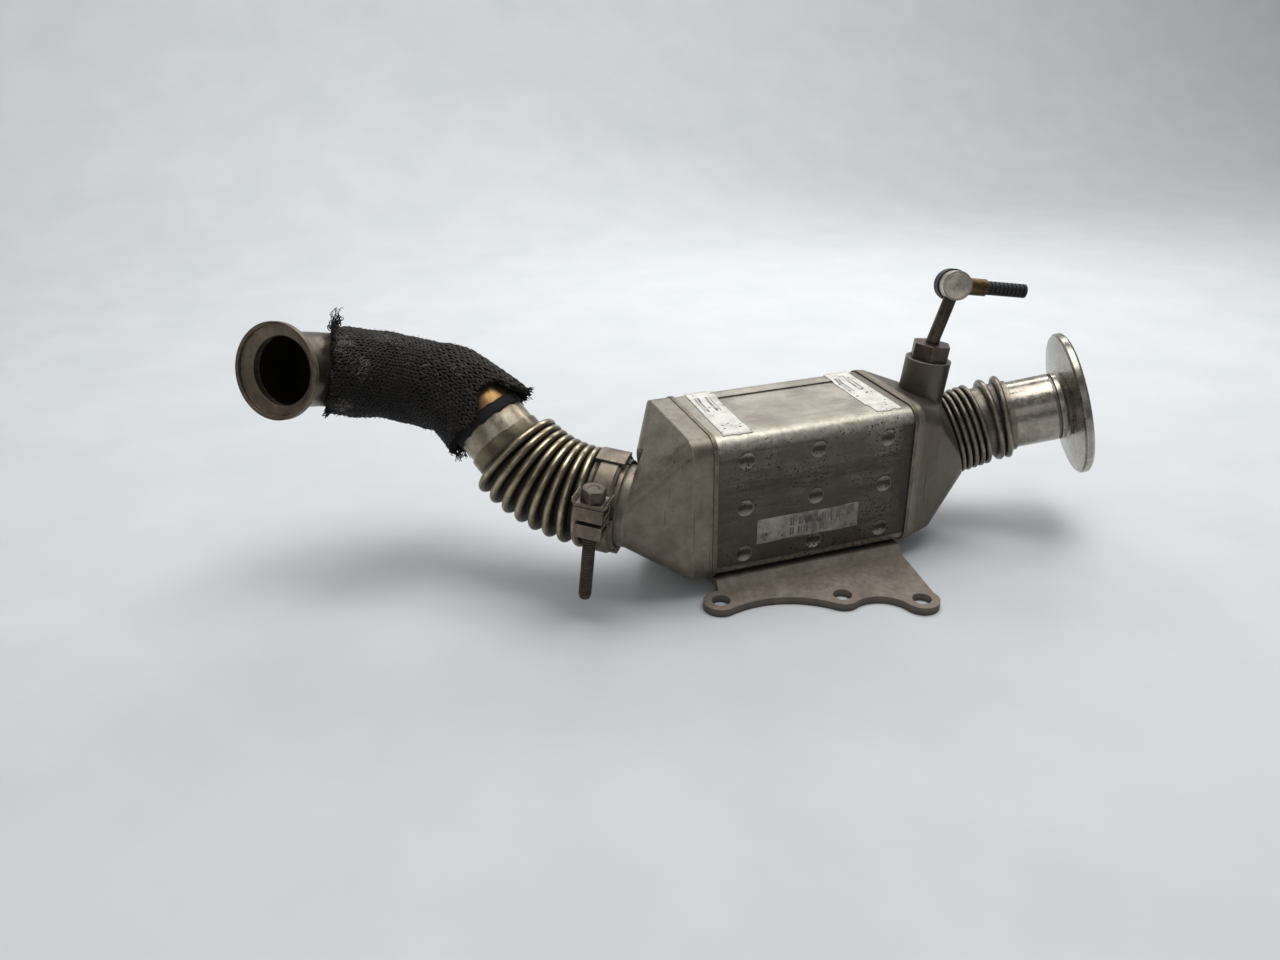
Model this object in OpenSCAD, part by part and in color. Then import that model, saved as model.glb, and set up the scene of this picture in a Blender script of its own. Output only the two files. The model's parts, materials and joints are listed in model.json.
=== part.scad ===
// Exhaust gas cooler: a flat-tube core in a pressed casing, with a sleeved inlet pipe and a flanged outlet.
// Lengths are in millimetres. The bracket's first bolt hole is the origin, X runs along the core and Z is up.

/* [Core] */
// Length of the casing between the two header plates
core_length = 102; // [94:1:116]
// Width of the casing from front to back
core_width = 64.5; // [60:0.5:70]
// Height of the casing
core_height = 72.5; // [70:0.5:78]
// Outside radius of the casing's long edges
core_corner = 8; // [6:0.5:10]
// Sheet thickness of the casing and the tanks
sheet = 1.5; // [1.2:0.1:1.8]
// Thickness of each header plate
header_thickness = 2; // [1.5:0.1:3]
// How far the header plates and tank rims stand out from the casing
header_lip = 0.8; // [0.4:0.1:1.5]
// Diameter of the pressed dimples in the casing's sides
dimple_diameter = 8; // [6:0.5:10]
// Depth of the pressed dimples
dimple_depth = 1.2; // [0.6:0.1:1.6]
// Width of the shallow panel pressed into the casing's top
top_panel_width = 36; // [24:1:44]
// Depth of that panel
top_panel_depth = 0.7; // [0.4:0.1:1.2]

/* [Gas tubes] */
// Number of flat gas tubes stacked in the core
tube_count = 7; // [5:1:7]
// Spacing of the gas tubes
tube_pitch = 9.2; // [8:0.1:9.6]
// Width of one flat tube
tube_width = 52; // [44:1:54]
// Height of one flat tube
tube_height = 5.2; // [4:0.1:6]
// Wall of one flat tube
tube_wall = 0.6; // [0.4:0.1:0.9]

/* [Coolant spigots] */
// Outside diameter of the coolant spigots
spigot_diameter = 18; // [14:0.5:20]
// Wall of the coolant spigots
spigot_wall = 1.5; // [1:0.1:2.5]
// How far the spigots stand out from the casing's back
spigot_reach = 27; // [20:1:36]

/* [Bracket] */
// Thickness of the bracket plate
plate = 4; // [3:0.1:5]
// Height of the casing's underside above the mounting face
casing_lift = 8; // [7:0.5:11]
// Diameter of the three bolt holes
bolt_hole = 9; // [7:0.5:10]
// Radius of the lobes round the bolt holes
lobe_radius = 8.4; // [7.5:0.1:10]
// Second bolt hole, along the core from the first
second_hole_x = 55.7; // [48:0.1:62]
// Second bolt hole, out to the front of the first
second_hole_front = 15.4; // [12:0.1:20]
// Third bolt hole, along the core from the first
third_hole_x = 88.6; // [82:0.1:92]
// Third bolt hole, out to the front of the first
third_hole_front = 31.4; // [26:0.1:36]
// Casing's inlet end, along the core from the first hole
casing_from_hole_x = 2; // [0:0.5:6]
// Casing's front face, behind the first hole
casing_from_hole_y = 11; // [10:0.5:14]
// Width of the rear foot under the casing's back edge
rear_foot_width = 9; // [6:0.5:14]

/* [Inlet joint] */
// Depth of the straight rim of the inlet tank
rim_depth = 10; // [8:0.5:14]
// How far the clamped joint stands out from the casing's inlet end
joint_reach = 43.8; // [42:0.1:50]
// How far the joint sits in front of the casing's middle
joint_front = 6.25; // [2:0.25:10]
// How far the joint sits above the casing's middle
joint_rise = 1.85; // [-2:0.05:4]
// Heading of the inlet pipe where it leaves the joint
inlet_heading = 145.3; // [138:0.1:152]
// Climb of the inlet pipe where it leaves the joint
inlet_climb = 6.8; // [2:0.1:10]
// Outside radius of the inlet tank's neck
inlet_neck_radius = 19.6; // [19:0.1:20]
// Outside radius of the two clamped flanges
vee_radius = 22.2; // [21.6:0.1:23.4]
// Thickness of each clamped flange at its rim
vee_rim = 4; // [3:0.1:5]
// Slope of the flanges' clamped faces
vee_slope = 20; // [15:1:24]
// Thickness of the gasket between the flanges
gasket = 0.8; // [0.5:0.1:1.2]

/* [Inlet bellows] */
// Number of folds
fold_count = 8; // [6:1:9]
// Outside radius at the crest of a fold
fold_crest = 24.2; // [23:0.1:25]
// Outside radius at the root between folds
fold_root = 18.5; // [18.3:0.1:19]
// Width of one fold
fold_width = 3.9; // [3.4:0.1:4]
// Length of the root between two folds on the pipe's axis
fold_link = 2; // [1.9:0.1:2.4]
// Angle between two neighbouring folds
fold_angle = 4.8; // [3:0.1:5]
// Direction in which the bellows bends, turned about the pipe
bellows_roll = 201.6; // [190:0.1:215]
// Wall of the bellows
fold_wall = 0.6; // [0.4:0.1:0.7]

/* [Inlet pipe] */
// Outside radius of the inlet pipe
pipe_radius = 17.5; // [16.8:0.1:17.7]
// Wall of the inlet pipe
pipe_wall = 1.5; // [1:0.1:2]
// Straight cuff next to the bellows
cuff_length = 20; // [16:0.5:26]
// Radius of the pipe's bends
pipe_bend_radius = 45; // [42:1:52]
// Angle of the first bend
first_bend = 37.5; // [32:0.5:42]
// Direction of the first bend, turned about the pipe
first_roll = 9.5; // [0:0.5:20]
// Straight length between the bends
middle_length = 4; // [2:0.5:12]
// Angle of the second bend
second_bend = 90.5; // [80:0.5:96]
// Direction of the second bend, turned about the pipe
second_roll = 103; // [96:0.5:110]
// Straight length behind the mouth
mouth_length = 6; // [4:0.5:12]
// Outside radius of the mouth's lip
lip_radius = 22.2; // [21:0.1:24]
// Depth of the flared mouth
mouth_depth = 8; // [7:0.1:11]

/* [Insulation sleeve] */
// Thickness of the knitted sleeve over the pipe
sleeve_thickness = 4; // [3:0.1:5]
// Height of one knitted course above its neighbours
course_height = 0.7; // [0.4:0.05:1]
// Number of knitted courses along the sleeve
course_count = 30; // [24:1:32]
// Share of the second bend that the sleeve covers
sleeve_cover = 0.74; // [0.6:0.01:0.76]
// How much further the sleeve reaches on the inside of the second bend
sleeve_slant = 11; // [0:0.5:12]
// How far the sleeve reaches over the straight cuff
sleeve_overlap = 3; // [0:0.5:6]
// How much the sleeve's loose end at the cuff stands open
sleeve_flare = 2; // [1:0.1:3]
// How much thinner the sleeve is at its end behind the mouth
sleeve_thinning = 1.6; // [0.5:0.1:2]

/* [Joint clamp] */
// Sheet thickness of the clamp
clamp_sheet = 1.5; // [1.2:0.1:1.8]
// Clear gap between the clamp's two ends, as an angle
clamp_gap = 16; // [13:0.5:22]
// Diameter of the clamp bolt
clamp_bolt_diameter = 6; // [5:0.1:6]
// Length of the bolt below the lower loop
bolt_tail = 35; // [20:1:36]
// Clearance of the bolt in its loops and nut
bolt_clearance = 0.3; // [0.2:0.05:0.5]

/* [Outlet] */
// Depth of the straight rim of the outlet tank
outlet_rim_depth = 3; // [2:0.5:5]
// Depth at which the outlet tank's front and back turn inwards
shoulder_depth = 15; // [10:0.5:17]
// Radius of the outlet tank's round end
outlet_end_radius = 23; // [22.5:0.1:24.5]
// How far the outlet neck stands out from the casing's outlet end
outlet_reach = 41.2; // [40:0.1:46]
// How far the outlet neck sits in front of the casing's middle
outlet_front = 0.6; // [-2:0.05:3]
// How far the outlet neck sits above the casing's middle
outlet_rise = 4.8; // [1:0.05:6]
// Heading of the outlet
outlet_heading = -15.8; // [-22:0.1:-10]
// Climb of the outlet
outlet_climb = 18.5; // [14:0.1:22]
// Outside radius of the outlet neck and the roots of the outlet bellows
outlet_root = 18.3; // [17.9:0.1:18.8]
// Outside radius at the crest of the outlet folds
outlet_crest = 21.75; // [21:0.05:23]
// Number of narrow folds
narrow_count = 5; // [3:1:6]
// Width of a narrow fold
narrow_width = 2.4; // [2:0.1:2.8]
// Root between two narrow folds
narrow_link = 1; // [0.8:0.1:1.6]
// Width of a wide fold
wide_width = 3.2; // [2.8:0.1:3.6]
// Plain band between the narrow and the wide folds
plain_band = 3.3; // [2:0.1:6]
// Bend of the outlet across the plain band
band_bend = 3.8; // [2:0.1:5]
// Bend of the outlet between the two wide folds
wide_bend = 6; // [3:0.1:6.5]
// Direction of both bends, turned about the outlet
outlet_roll = 293; // [280:1:305]
// Outside radius of the outlet pipe
outlet_pipe_radius = 17.3; // [16.9:0.1:17.5]
// Wall of the outlet pipe
outlet_pipe_wall = 1.3; // [1:0.1:1.6]
// Visible length of the outlet pipe
outlet_pipe_length = 23.5; // [16:0.5:32]
// Radius of the outlet flange
flange_radius = 36.5; // [32:0.5:40]
// Thickness of the outlet flange at its rim
flange_rim = 4.5; // [3:0.1:6]
// Neck of the flange between the pipe's end and the flange's back
flange_neck = 4.5; // [3:0.1:8]
// Radius of the gas passage through the flange
flange_bore = 14.4; // [13.5:0.1:14.8]

/* [Temperature sensor] */
// Distance of the sensor boss from the casing's outlet end
boss_reach = 24.4; // [22:0.1:27]
// Lean of the sensor away from upright, along the core
boss_lean = 8; // [4:0.5:12]
// Outside radius of the sensor boss
boss_radius = 11.3; // [10:0.1:12]
// Height of the boss's top above the casing's top
boss_top = 12.3; // [10:0.1:18]
// Length of the boss
boss_length = 28; // [26:0.5:29]
// Width across flats of the sensor's nut
nut_across = 17; // [15:0.5:19]
// Height of the sensor's nut
nut_height = 8; // [6:0.5:10]
// Radius of the sensor's stem
stem_radius = 3.2; // [2.6:0.1:3.6]
// Length of the stem from the nut up to the head's middle
stem_length = 29; // [24:0.5:36]
// Extra lean of the stem above the nut
stem_lean = 11; // [0:0.5:14]
// Depth of the probe below the boss
probe_depth = 14; // [8:0.5:20]
// Radius of the sensor's round head
head_radius = 7.2; // [6.5:0.1:8]
// Radius of the lead's black sleeve
lead_radius = 3.4; // [2.8:0.1:3.8]
// Length of the lead's black sleeve up to its cut end
lead_length = 21; // [12:0.5:24]

/* [Hidden] */
$fn = 64;
// Small overlap by which two shapes of one piece fuse
fuse = 0.01;
// Where two lengths of one piece join, one reaches into the other and is a little larger
seam_step = 0.05;
seam_bite = 0.3;

core_x = casing_from_hole_x;
core_y = casing_from_hole_y;
core_end = core_x + core_length;
core_mid = [core_x + core_length / 2, core_y + core_width / 2, casing_lift + core_height / 2];

steel = [0.60, 0.57, 0.52];
dull_steel = [0.50, 0.47, 0.43];
bronze_steel = [0.56, 0.50, 0.40];
bright_steel = [0.72, 0.71, 0.68];
brown_steel = [0.42, 0.36, 0.32];
dark_steel = [0.30, 0.27, 0.25];
black_knit = [0.08, 0.08, 0.08];
black_rubber = [0.07, 0.07, 0.07];
brass = [0.62, 0.52, 0.32];
graphite = [0.25, 0.25, 0.26];

// Placing along the pipes: each frame is a matrix whose Z axis follows the pipe
function move(v) = [[1, 0, 0, v.x], [0, 1, 0, v.y], [0, 0, 1, v.z], [0, 0, 0, 1]];
function turn_y(a) = [[cos(a), 0, sin(a), 0], [0, 1, 0, 0], [-sin(a), 0, cos(a), 0], [0, 0, 0, 1]];
function turn_z(a) = [[cos(a), -sin(a), 0, 0], [sin(a), cos(a), 0, 0], [0, 0, 1, 0], [0, 0, 0, 1]];
function ahead(l) = move([0, 0, l]);
function aim(point, heading, climb) = move(point) * turn_z(heading) * turn_y(90 - climb);
function bend(angle, radius, roll) =
    turn_z(roll) * move([radius, 0, 0]) * turn_y(angle) * move([-radius, 0, 0]) * turn_z(-roll);

// Frames along the inlet, from the clamped joint outwards
joint = aim(core_mid + [-core_length / 2 - joint_reach, -joint_front, joint_rise], inlet_heading, inlet_climb);
hub_length = 3;
vee_back = vee_rim + (vee_radius - inlet_neck_radius) * tan(vee_slope);
hub_end = vee_back + hub_length;
link_radius = fold_link / (fold_angle * PI / 180);
function fold_frame(i) =
    i == 0 ? joint * ahead(hub_end)
           : fold_frame(i - 1) * ahead(fold_width) * bend(fold_angle, link_radius, bellows_roll);
pipe_start = fold_frame(fold_count);
bend_one = pipe_start * ahead(cuff_length);
bend_two = bend_one * bend(first_bend, pipe_bend_radius, first_roll) * ahead(middle_length);
mouth_straight = bend_two * bend(second_bend, pipe_bend_radius, second_roll);
mouth = mouth_straight * ahead(mouth_length);

// Frames along the outlet, from the tank's neck outwards
outlet_neck = aim([core_end + outlet_reach, core_mid.y - outlet_front, core_mid.z + outlet_rise],
                  outlet_heading, outlet_climb);
outlet_collar = 1;
bellows_bend_radius = 28;
narrow_pitch = narrow_width + narrow_link;
narrow_end = outlet_neck * ahead(outlet_collar + narrow_count * narrow_pitch - narrow_link);
band_end = narrow_end * ahead(plain_band);
first_wide = band_end * bend(band_bend, bellows_bend_radius, outlet_roll);
second_wide = first_wide * ahead(wide_width) * bend(wide_bend, bellows_bend_radius, outlet_roll);
outlet_pipe_start = second_wide * ahead(wide_width);
flange_frame = outlet_pipe_start * ahead(outlet_pipe_length);

// Frames of the temperature sensor
boss_axis = turn_y(boss_lean);
boss_head = move([core_end + boss_reach, core_mid.y, casing_lift + core_height])
          * boss_axis * ahead(boss_top / cos(boss_lean));
elbow_height = nut_height + 1;
stem_elbow = boss_head * ahead(elbow_height) * turn_y(stem_lean);
head_mid = stem_elbow * ahead(stem_length);
head_place = [for (i = [0:2]) head_mid[i][3]];
head_heading = -108;
head_climb = 12;
head_facing = aim(head_place, head_heading, head_climb);
lead_heading = -14;
lead_climb = -7;
lead_start = aim(head_place, lead_heading, lead_climb) * ahead(head_radius - 1);
ferrule_length = 9;

// Shapes that several sub-parts share
module rounded_rectangle(width, height, radius) {
    square([width - 2 * radius, height], center = true);
    square([width, height - 2 * radius], center = true);
    for (x = [-1, 1])
        for (y = [-1, 1])
            translate([x * (width / 2 - radius), y * (height / 2 - radius)])
                circle(radius);
}

// The casing's cross section, grown all round and run from x_from over a length
module core_section(x_from, length, grow = 0) {
    translate([x_from, core_mid.y, core_mid.z])
        rotate([90, 0, 90])
            linear_extrude(length)
                rounded_rectangle(core_width + 2 * grow, core_height + 2 * grow, core_corner + grow);
}

module ring(radius_out, radius_in, length) {
    difference() {
        cylinder(r = radius_out, h = length);
        translate([0, 0, -1])
            cylinder(r = radius_in, h = length + 2);
    }
}

// A straight tube that reaches a bite past both of its ends
module straight_link(radius_out, radius_in, length) {
    translate([0, 0, -seam_bite])
        ring(radius_out, radius_in, length + 2 * seam_bite);
}

// A bent tube that leaves the frame along Z, with a bite past both of its ends
module bent_link(angle, radius, roll, radius_out, radius_in, bite = seam_bite) {
    reach = bite / radius * 180 / PI;
    rotate([0, 0, roll])
        translate([radius, 0, 0])
            rotate([90, 0, 180])
                rotate([0, 0, -reach])
                    rotate_extrude(angle = angle + 2 * reach, $fn = 96)
                        translate([radius, 0])
                            difference() {
                                circle(radius_out);
                                circle(radius_in);
                            }
}

// One hollow fold of a bellows, from its first root face at Z = 0
module fold(root, crest, width, wall) {
    round_radius = width / 2;
    inner_edge = root - wall - seam_step;
    rotate_extrude(angle = 360)
        translate([0, round_radius])
            difference() {
                union() {
                    translate([inner_edge, -round_radius])
                        square([crest - round_radius - inner_edge, width]);
                    translate([crest - round_radius, 0])
                        circle(round_radius);
                }
                translate([inner_edge - 1, -round_radius + wall])
                    square([crest - round_radius - inner_edge + 1, width - 2 * wall]);
                translate([crest - round_radius, 0])
                    circle(round_radius - wall);
            }
}

// Four round bars at the corners of the casing's section, drawn in by inset = [sides, bottom, top]
module corner_bars(x, direction, inset, shrink) {
    radius = core_corner + header_lip / 2 - shrink - seam_step;
    low = core_mid.z - core_height / 2 + core_corner + inset[1];
    high = core_mid.z + core_height / 2 - core_corner - inset[2];
    for (y = [-1, 1])
        for (z = [low, high])
            translate([x, core_mid.y + y * (core_width / 2 - core_corner - inset[0]), z])
                rotate([0, -90 * direction, 0])
                    cylinder(r = radius, h = seam_bite, $fn = 32);
}

// Core
dimple_pitch_x = core_length * 0.36;
dimple_pitch_z = core_height * 0.335;
dimple_sphere = (pow(dimple_diameter / 2, 2) + pow(dimple_depth, 2)) / (2 * dimple_depth);
spigot_places = [[-dimple_pitch_x / 2, dimple_pitch_z / 2], [dimple_pitch_x / 2, -dimple_pitch_z / 2]];
panel_inset = 7;
panel_length = core_length - 2 * panel_inset;

module dimples(radius) {
    for (side = [-1, 1])
        for (i = [-1:1])
            for (j = [-1:1])
                translate(core_mid + [i * dimple_pitch_x,
                                      side * (core_width / 2 + dimple_sphere - dimple_depth),
                                      j * dimple_pitch_z])
                    sphere(radius);
}

module core_casing() {
    top = casing_lift + core_height;
    color(steel)
        difference() {
            union() {
                difference() {
                    core_section(core_x, core_length);
                    core_section(core_x - 1, core_length + 2, -sheet);
                }
                intersection() {
                    core_section(core_x, core_length, -sheet / 2);
                    dimples(dimple_sphere + sheet);
                }
                translate([core_mid.x, core_mid.y, top - sheet - top_panel_depth / 2 + fuse])
                    cube([panel_length + 2 * sheet, top_panel_width + 2 * sheet, top_panel_depth + 2 * fuse],
                         center = true);
            }
            dimples(dimple_sphere);
            translate([core_mid.x, core_mid.y, top])
                cube([panel_length, top_panel_width, 2 * top_panel_depth], center = true);
            for (p = spigot_places)
                translate(core_mid + [p.x, core_width / 2 - 2 * sheet, p.y])
                    rotate([-90, 0, 0])
                        cylinder(d = spigot_diameter, h = 4 * sheet);
        }
}

module flat_tube_section(shrink) {
    height = tube_height - 2 * shrink;
    flat = tube_width - tube_height;
    square([flat, height], center = true);
    for (x = [-1, 1])
        translate([x * flat / 2, 0])
            circle(height / 2);
}

module for_each_tube() {
    for (i = [0:tube_count - 1])
        translate([0, core_mid.y, core_mid.z + (i - (tube_count - 1) / 2) * tube_pitch])
            children();
}

module header_plate(x_from) {
    difference() {
        core_section(x_from, header_thickness, header_lip);
        for_each_tube()
            translate([x_from - 1, 0, 0])
                rotate([90, 0, 90])
                    linear_extrude(header_thickness + 2)
                        flat_tube_section(tube_wall);
    }
}

module inlet_header_plate() {
    color(dull_steel)
        header_plate(core_x - header_thickness);
}

module outlet_header_plate() {
    color(dull_steel)
        header_plate(core_end);
}

module gas_tubes() {
    color(dull_steel)
        for_each_tube()
            translate([core_x, 0, 0])
                rotate([90, 0, 90])
                    linear_extrude(core_length)
                        difference() {
                            flat_tube_section(0);
                            flat_tube_section(tube_wall);
                        }
}

// A coolant spigot with a collar on the casing's back and a bead that holds its hose
module coolant_spigot(place) {
    radius = spigot_diameter / 2;
    collar = 2;
    collar_width = 3;
    bead_radius = 1.8;
    bead_height = 1.2;
    bead_from = spigot_reach - 6;
    translate(core_mid + [place.x, core_width / 2, place.y])
        rotate([-90, 0, 0])
            rotate_extrude(angle = 360)
                difference() {
                    union() {
                        translate([0, -sheet])
                            square([radius, spigot_reach + sheet]);
                        square([radius + collar_width, collar]);
                        translate([radius + bead_height - bead_radius, bead_from])
                            circle(bead_radius);
                    }
                    translate([0, -sheet - 1])
                        square([radius - spigot_wall, spigot_reach + sheet + 2]);
                    translate([-radius, 0])
                        square([radius, spigot_reach]);
                }
}

module coolant_inlet_spigot() {
    color(steel)
        coolant_spigot(spigot_places[0]);
}

module coolant_outlet_spigot() {
    color(steel)
        coolant_spigot(spigot_places[1]);
}

// Bracket
holes = [[0, 0], [second_hole_x, -second_hole_front], [third_hole_x, -third_hole_front]];
step_run = 3;
step_gap = 0.5;
step_from = core_y - step_run - step_gap;
seat_rise = casing_lift - plate;
under_step = plate * step_run / (step_run + seat_rise);
seat_short = 2;
near_edge_angle = 155;
far_edge_angle = -10;
edge_reach = 0.9 * lobe_radius;
waist_bite = 0.05;

// Middle of the round cut between two lobes: it touches both lobes and the line between their holes
function waist_radius(a, b) = (pow(norm(b - a) / 2, 2) - pow(lobe_radius, 2)) / (2 * lobe_radius);
function waist_middle(a, b) =
    (a + b) / 2 + waist_radius(a, b) * [(b - a).y, -(b - a).x] / norm(b - a);

module waist(a, b) {
    difference() {
        polygon([a, waist_middle(a, b), b]);
        translate(waist_middle(a, b))
            circle(waist_radius(a, b) + waist_bite, $fn = 128);
    }
}

module foot_outline() {
    difference() {
        union() {
            for (h = holes)
                translate(h)
                    circle(lobe_radius);
            waist(holes[0], holes[1]);
            waist(holes[1], holes[2]);
            polygon([
                holes[0], holes[1], holes[2],
                holes[2] + edge_reach * [cos(far_edge_angle), sin(far_edge_angle)],
                [core_end - seat_short, step_from],
                [core_end - seat_short, step_from + under_step / 2],
                [core_x, step_from + under_step / 2],
                [core_x, step_from],
                edge_reach * [cos(near_edge_angle), sin(near_edge_angle)]]);
        }
        for (h = holes)
            translate(h)
                circle(d = bolt_hole);
    }
}

// Side view of the plate behind the foot: a step up, the seat under the casing, and a step down to the rear foot
module seat_profile() {
    rear_top = core_y + core_width - rear_foot_width - step_run;
    rear_end = core_y + core_width;
    polygon([
        [step_from, 0], [step_from + under_step, 0],
        [step_from + step_run + under_step, seat_rise], [rear_top - under_step, seat_rise],
        [rear_top + step_run - under_step, 0], [rear_end, 0], [rear_end, plate],
        [rear_top + step_run, plate], [rear_top, casing_lift], [step_from + step_run, casing_lift],
        [step_from, plate]]);
}

module mounting_bracket() {
    color(brown_steel) {
        linear_extrude(plate)
            foot_outline();
        translate([core_x, 0, 0])
            rotate([90, 0, 90])
                linear_extrude(core_length - seat_short)
                    seat_profile();
    }
}

// Inlet tank and joint
inlet_neck_length = 4;
inlet_neck = joint * ahead(-hub_end);
relief_clearance = 2;
hub_wall = 2;
gasket_inset = 1;

// Room for the clamp, pressed into the tank's back where the taper passes the skewed joint
module clamp_relief(shrink) {
    multmatrix(inlet_neck * ahead(2 * seam_bite - inlet_neck_length - shrink))
        cylinder(r = link_radius_out + relief_clearance + shrink, h = core_width);
}

// Straight rim, then a taper to the skewed round neck: shrink 0 is the outside, shrink of one sheet the inside
module inlet_tank_form(shrink) {
    rim_from = core_x - header_thickness;
    rim_to = rim_from - rim_depth;
    past = shrink > 0 ? 1 : 0;
    core_section(rim_to, rim_depth + past, header_lip / 2 - shrink);
    difference() {
        hull() {
            corner_bars(rim_to, -1, [0, 0, 0], shrink);
            multmatrix(inlet_neck * ahead(-inlet_neck_length))
                cylinder(r = inlet_neck_radius - shrink - seam_step, h = seam_bite, $fn = 48);
        }
        clamp_relief(shrink);
    }
    multmatrix(inlet_neck * ahead(-inlet_neck_length - shrink))
        cylinder(r = inlet_neck_radius - shrink, h = inlet_neck_length + shrink + past);
}

module inlet_tank() {
    color(steel)
        difference() {
            inlet_tank_form(0);
            inlet_tank_form(sheet);
        }
}

// Half of the clamped joint: a flange with a sloping back and a short hub
module vee_flange(hub_radius, bore) {
    rotate_extrude(angle = 360)
        polygon([
            [bore, gasket / 2], [vee_radius, gasket / 2], [vee_radius, vee_rim],
            [inlet_neck_radius, vee_back], [hub_radius, vee_back],
            [hub_radius, hub_end], [bore, hub_end]]);
}

module tank_vee_flange() {
    color(dull_steel)
        multmatrix(joint)
            mirror([0, 0, 1])
                vee_flange(inlet_neck_radius, inlet_neck_radius - sheet);
}

module bellows_vee_flange() {
    color(bronze_steel)
        multmatrix(joint)
            vee_flange(fold_root, fold_root - hub_wall);
}

module joint_gasket() {
    color(graphite)
        multmatrix(joint * ahead(-gasket / 2))
            ring(vee_radius - gasket_inset, inlet_neck_radius - sheet, gasket);
}

module inlet_bellows() {
    collar_length = 6;
    color(bronze_steel) {
        for (i = [0:fold_count - 1])
            multmatrix(fold_frame(i)) {
                fold(fold_root, fold_crest, fold_width, fold_wall);
                translate([0, 0, fold_width])
                    bent_link(fold_angle, link_radius, bellows_roll, fold_root, fold_root - fold_wall);
            }
        multmatrix(pipe_start)
            ring(fold_root + seam_step, straight_radius, collar_length);
    }
}

// The straight lengths are sized over the bends' ends, which sit inside their walls
straight_radius = pipe_radius + seam_step;
straight_bore = pipe_radius - pipe_wall - seam_step;

module inlet_pipe() {
    bore = pipe_radius - pipe_wall;
    color(bronze_steel) {
        multmatrix(pipe_start)
            ring(straight_radius, straight_bore, cuff_length + seam_bite);
        multmatrix(bend_one)
            bent_link(first_bend, pipe_bend_radius, first_roll, pipe_radius, bore, 0);
        multmatrix(bend_two * ahead(-middle_length))
            straight_link(straight_radius, straight_bore, middle_length);
        multmatrix(bend_two)
            bent_link(second_bend, pipe_bend_radius, second_roll, pipe_radius, bore, 0);
        multmatrix(mouth_straight * ahead(-seam_bite))
            ring(straight_radius, straight_bore, mouth_length + seam_bite);
    }
}

// Flared mouth: a short socket, a cone and an upright lip, spun from one sheet
module inlet_mouth() {
    bore = straight_bore;
    socket_radius = pipe_radius + 0.3;
    socket_length = 2.4;
    lip_length = 2.6;
    cone_to = mouth_depth - lip_length;
    bite = pipe_wall * tan(atan2(cone_to - socket_length, lip_radius - socket_radius) / 2);
    color(brown_steel)
        multmatrix(mouth)
            rotate_extrude(angle = 360)
                polygon([
                    [bore, 0], [socket_radius, 0], [socket_radius, socket_length],
                    [lip_radius, cone_to], [lip_radius, mouth_depth],
                    [lip_radius - pipe_wall, mouth_depth], [lip_radius - pipe_wall, cone_to + bite],
                    [bore, socket_length + pipe_wall - bite]]);
}

// Insulation sleeve: rings of points along the bent pipe, alternately on and between the courses
sleeve_sides = 28;
sleeve_clearance = 0.25;
sleeve_ring_count = 2 * course_count + 1;
sleeve_length_one = first_bend * PI / 180 * pipe_bend_radius;
second_bend_length = second_bend * PI / 180 * pipe_bend_radius;
second_bend_from = sleeve_length_one + middle_length;
sleeve_length = sleeve_overlap + second_bend_from + second_bend_length * sleeve_cover;
slant_share = 0.5;
flare_share = 0.1;
thinning_share = 0.1;
inner_flare = 0.6;

function sleeve_frame(from_end) =
    let (s = from_end - sleeve_overlap)
    s <= 0 ? bend_one * ahead(s)
    : s <= sleeve_length_one ? bend_one * bend(first_bend * s / sleeve_length_one, pipe_bend_radius, first_roll)
    : s <= second_bend_from ? bend_two * ahead(s - second_bend_from)
    : s <= second_bend_from + second_bend_length
        ? bend_two * bend((s - second_bend_from) / pipe_bend_radius * 180 / PI, pipe_bend_radius, second_roll)
    : mouth_straight * ahead(s - second_bend_from - second_bend_length);
// The last courses lean over, so that the open end reaches further on the inside of the bend
function course_lean(t, angle) =
    let (inwards = cos(angle - second_roll), share = max(0, (t - 1 + slant_share) / slant_share))
    sleeve_slant * pow(share, 2) * inwards / (1 - (pipe_radius + sleeve_thickness / 2) / pipe_bend_radius * inwards);
function end_flare(t) = sleeve_flare * exp(-pow(t / flare_share, 2));
function end_thinning(t) = sleeve_thinning * exp(-pow((1 - t) / thinning_share, 2));
function sleeve_outer(i) =
    let (t = i / (sleeve_ring_count - 1))
    pipe_radius + sleeve_thickness + end_flare(t) - end_thinning(t) + (i % 2 == 0 ? 0 : course_height);
function sleeve_inner(i) =
    (pipe_radius + sleeve_clearance) / cos(180 / sleeve_sides) + inner_flare * end_flare(i / (sleeve_ring_count - 1));
function ring_points(i, radius) = [
    for (side = [0:sleeve_sides - 1])
        let (t = i / (sleeve_ring_count - 1),
             angle = side * 360 / sleeve_sides,
             v = sleeve_frame(sleeve_length * t + course_lean(t, angle))
                 * [radius * cos(angle), radius * sin(angle), 0, 1])
        [v.x, v.y, v.z]];
function quads(first, second) = [
    for (a = [0:sleeve_sides - 1])
        let (b = (a + 1) % sleeve_sides)
        [first + a, first + b, second + b, second + a]];

module insulation_sleeve() {
    outer_rings = [for (i = [0:sleeve_ring_count - 1]) ring_points(i, sleeve_outer(i))];
    inner_rings = [for (i = [0:2:sleeve_ring_count - 1]) ring_points(i, sleeve_inner(i))];
    outer_count = len(outer_rings);
    inner_count = len(inner_rings);
    n = sleeve_sides;
    points = [for (r = outer_rings) each r, for (r = inner_rings) each r];
    inner_first = outer_count * n;
    faces = [
        for (i = [0:outer_count - 2]) each quads((i + 1) * n, i * n),
        for (i = [0:inner_count - 2]) each quads(inner_first + i * n, inner_first + (i + 1) * n),
        each quads(0, inner_first),
        each quads(inner_first + (inner_count - 1) * n, (outer_count - 1) * n)];
    color(black_knit)
        polyhedron(points, faces);
}

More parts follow.
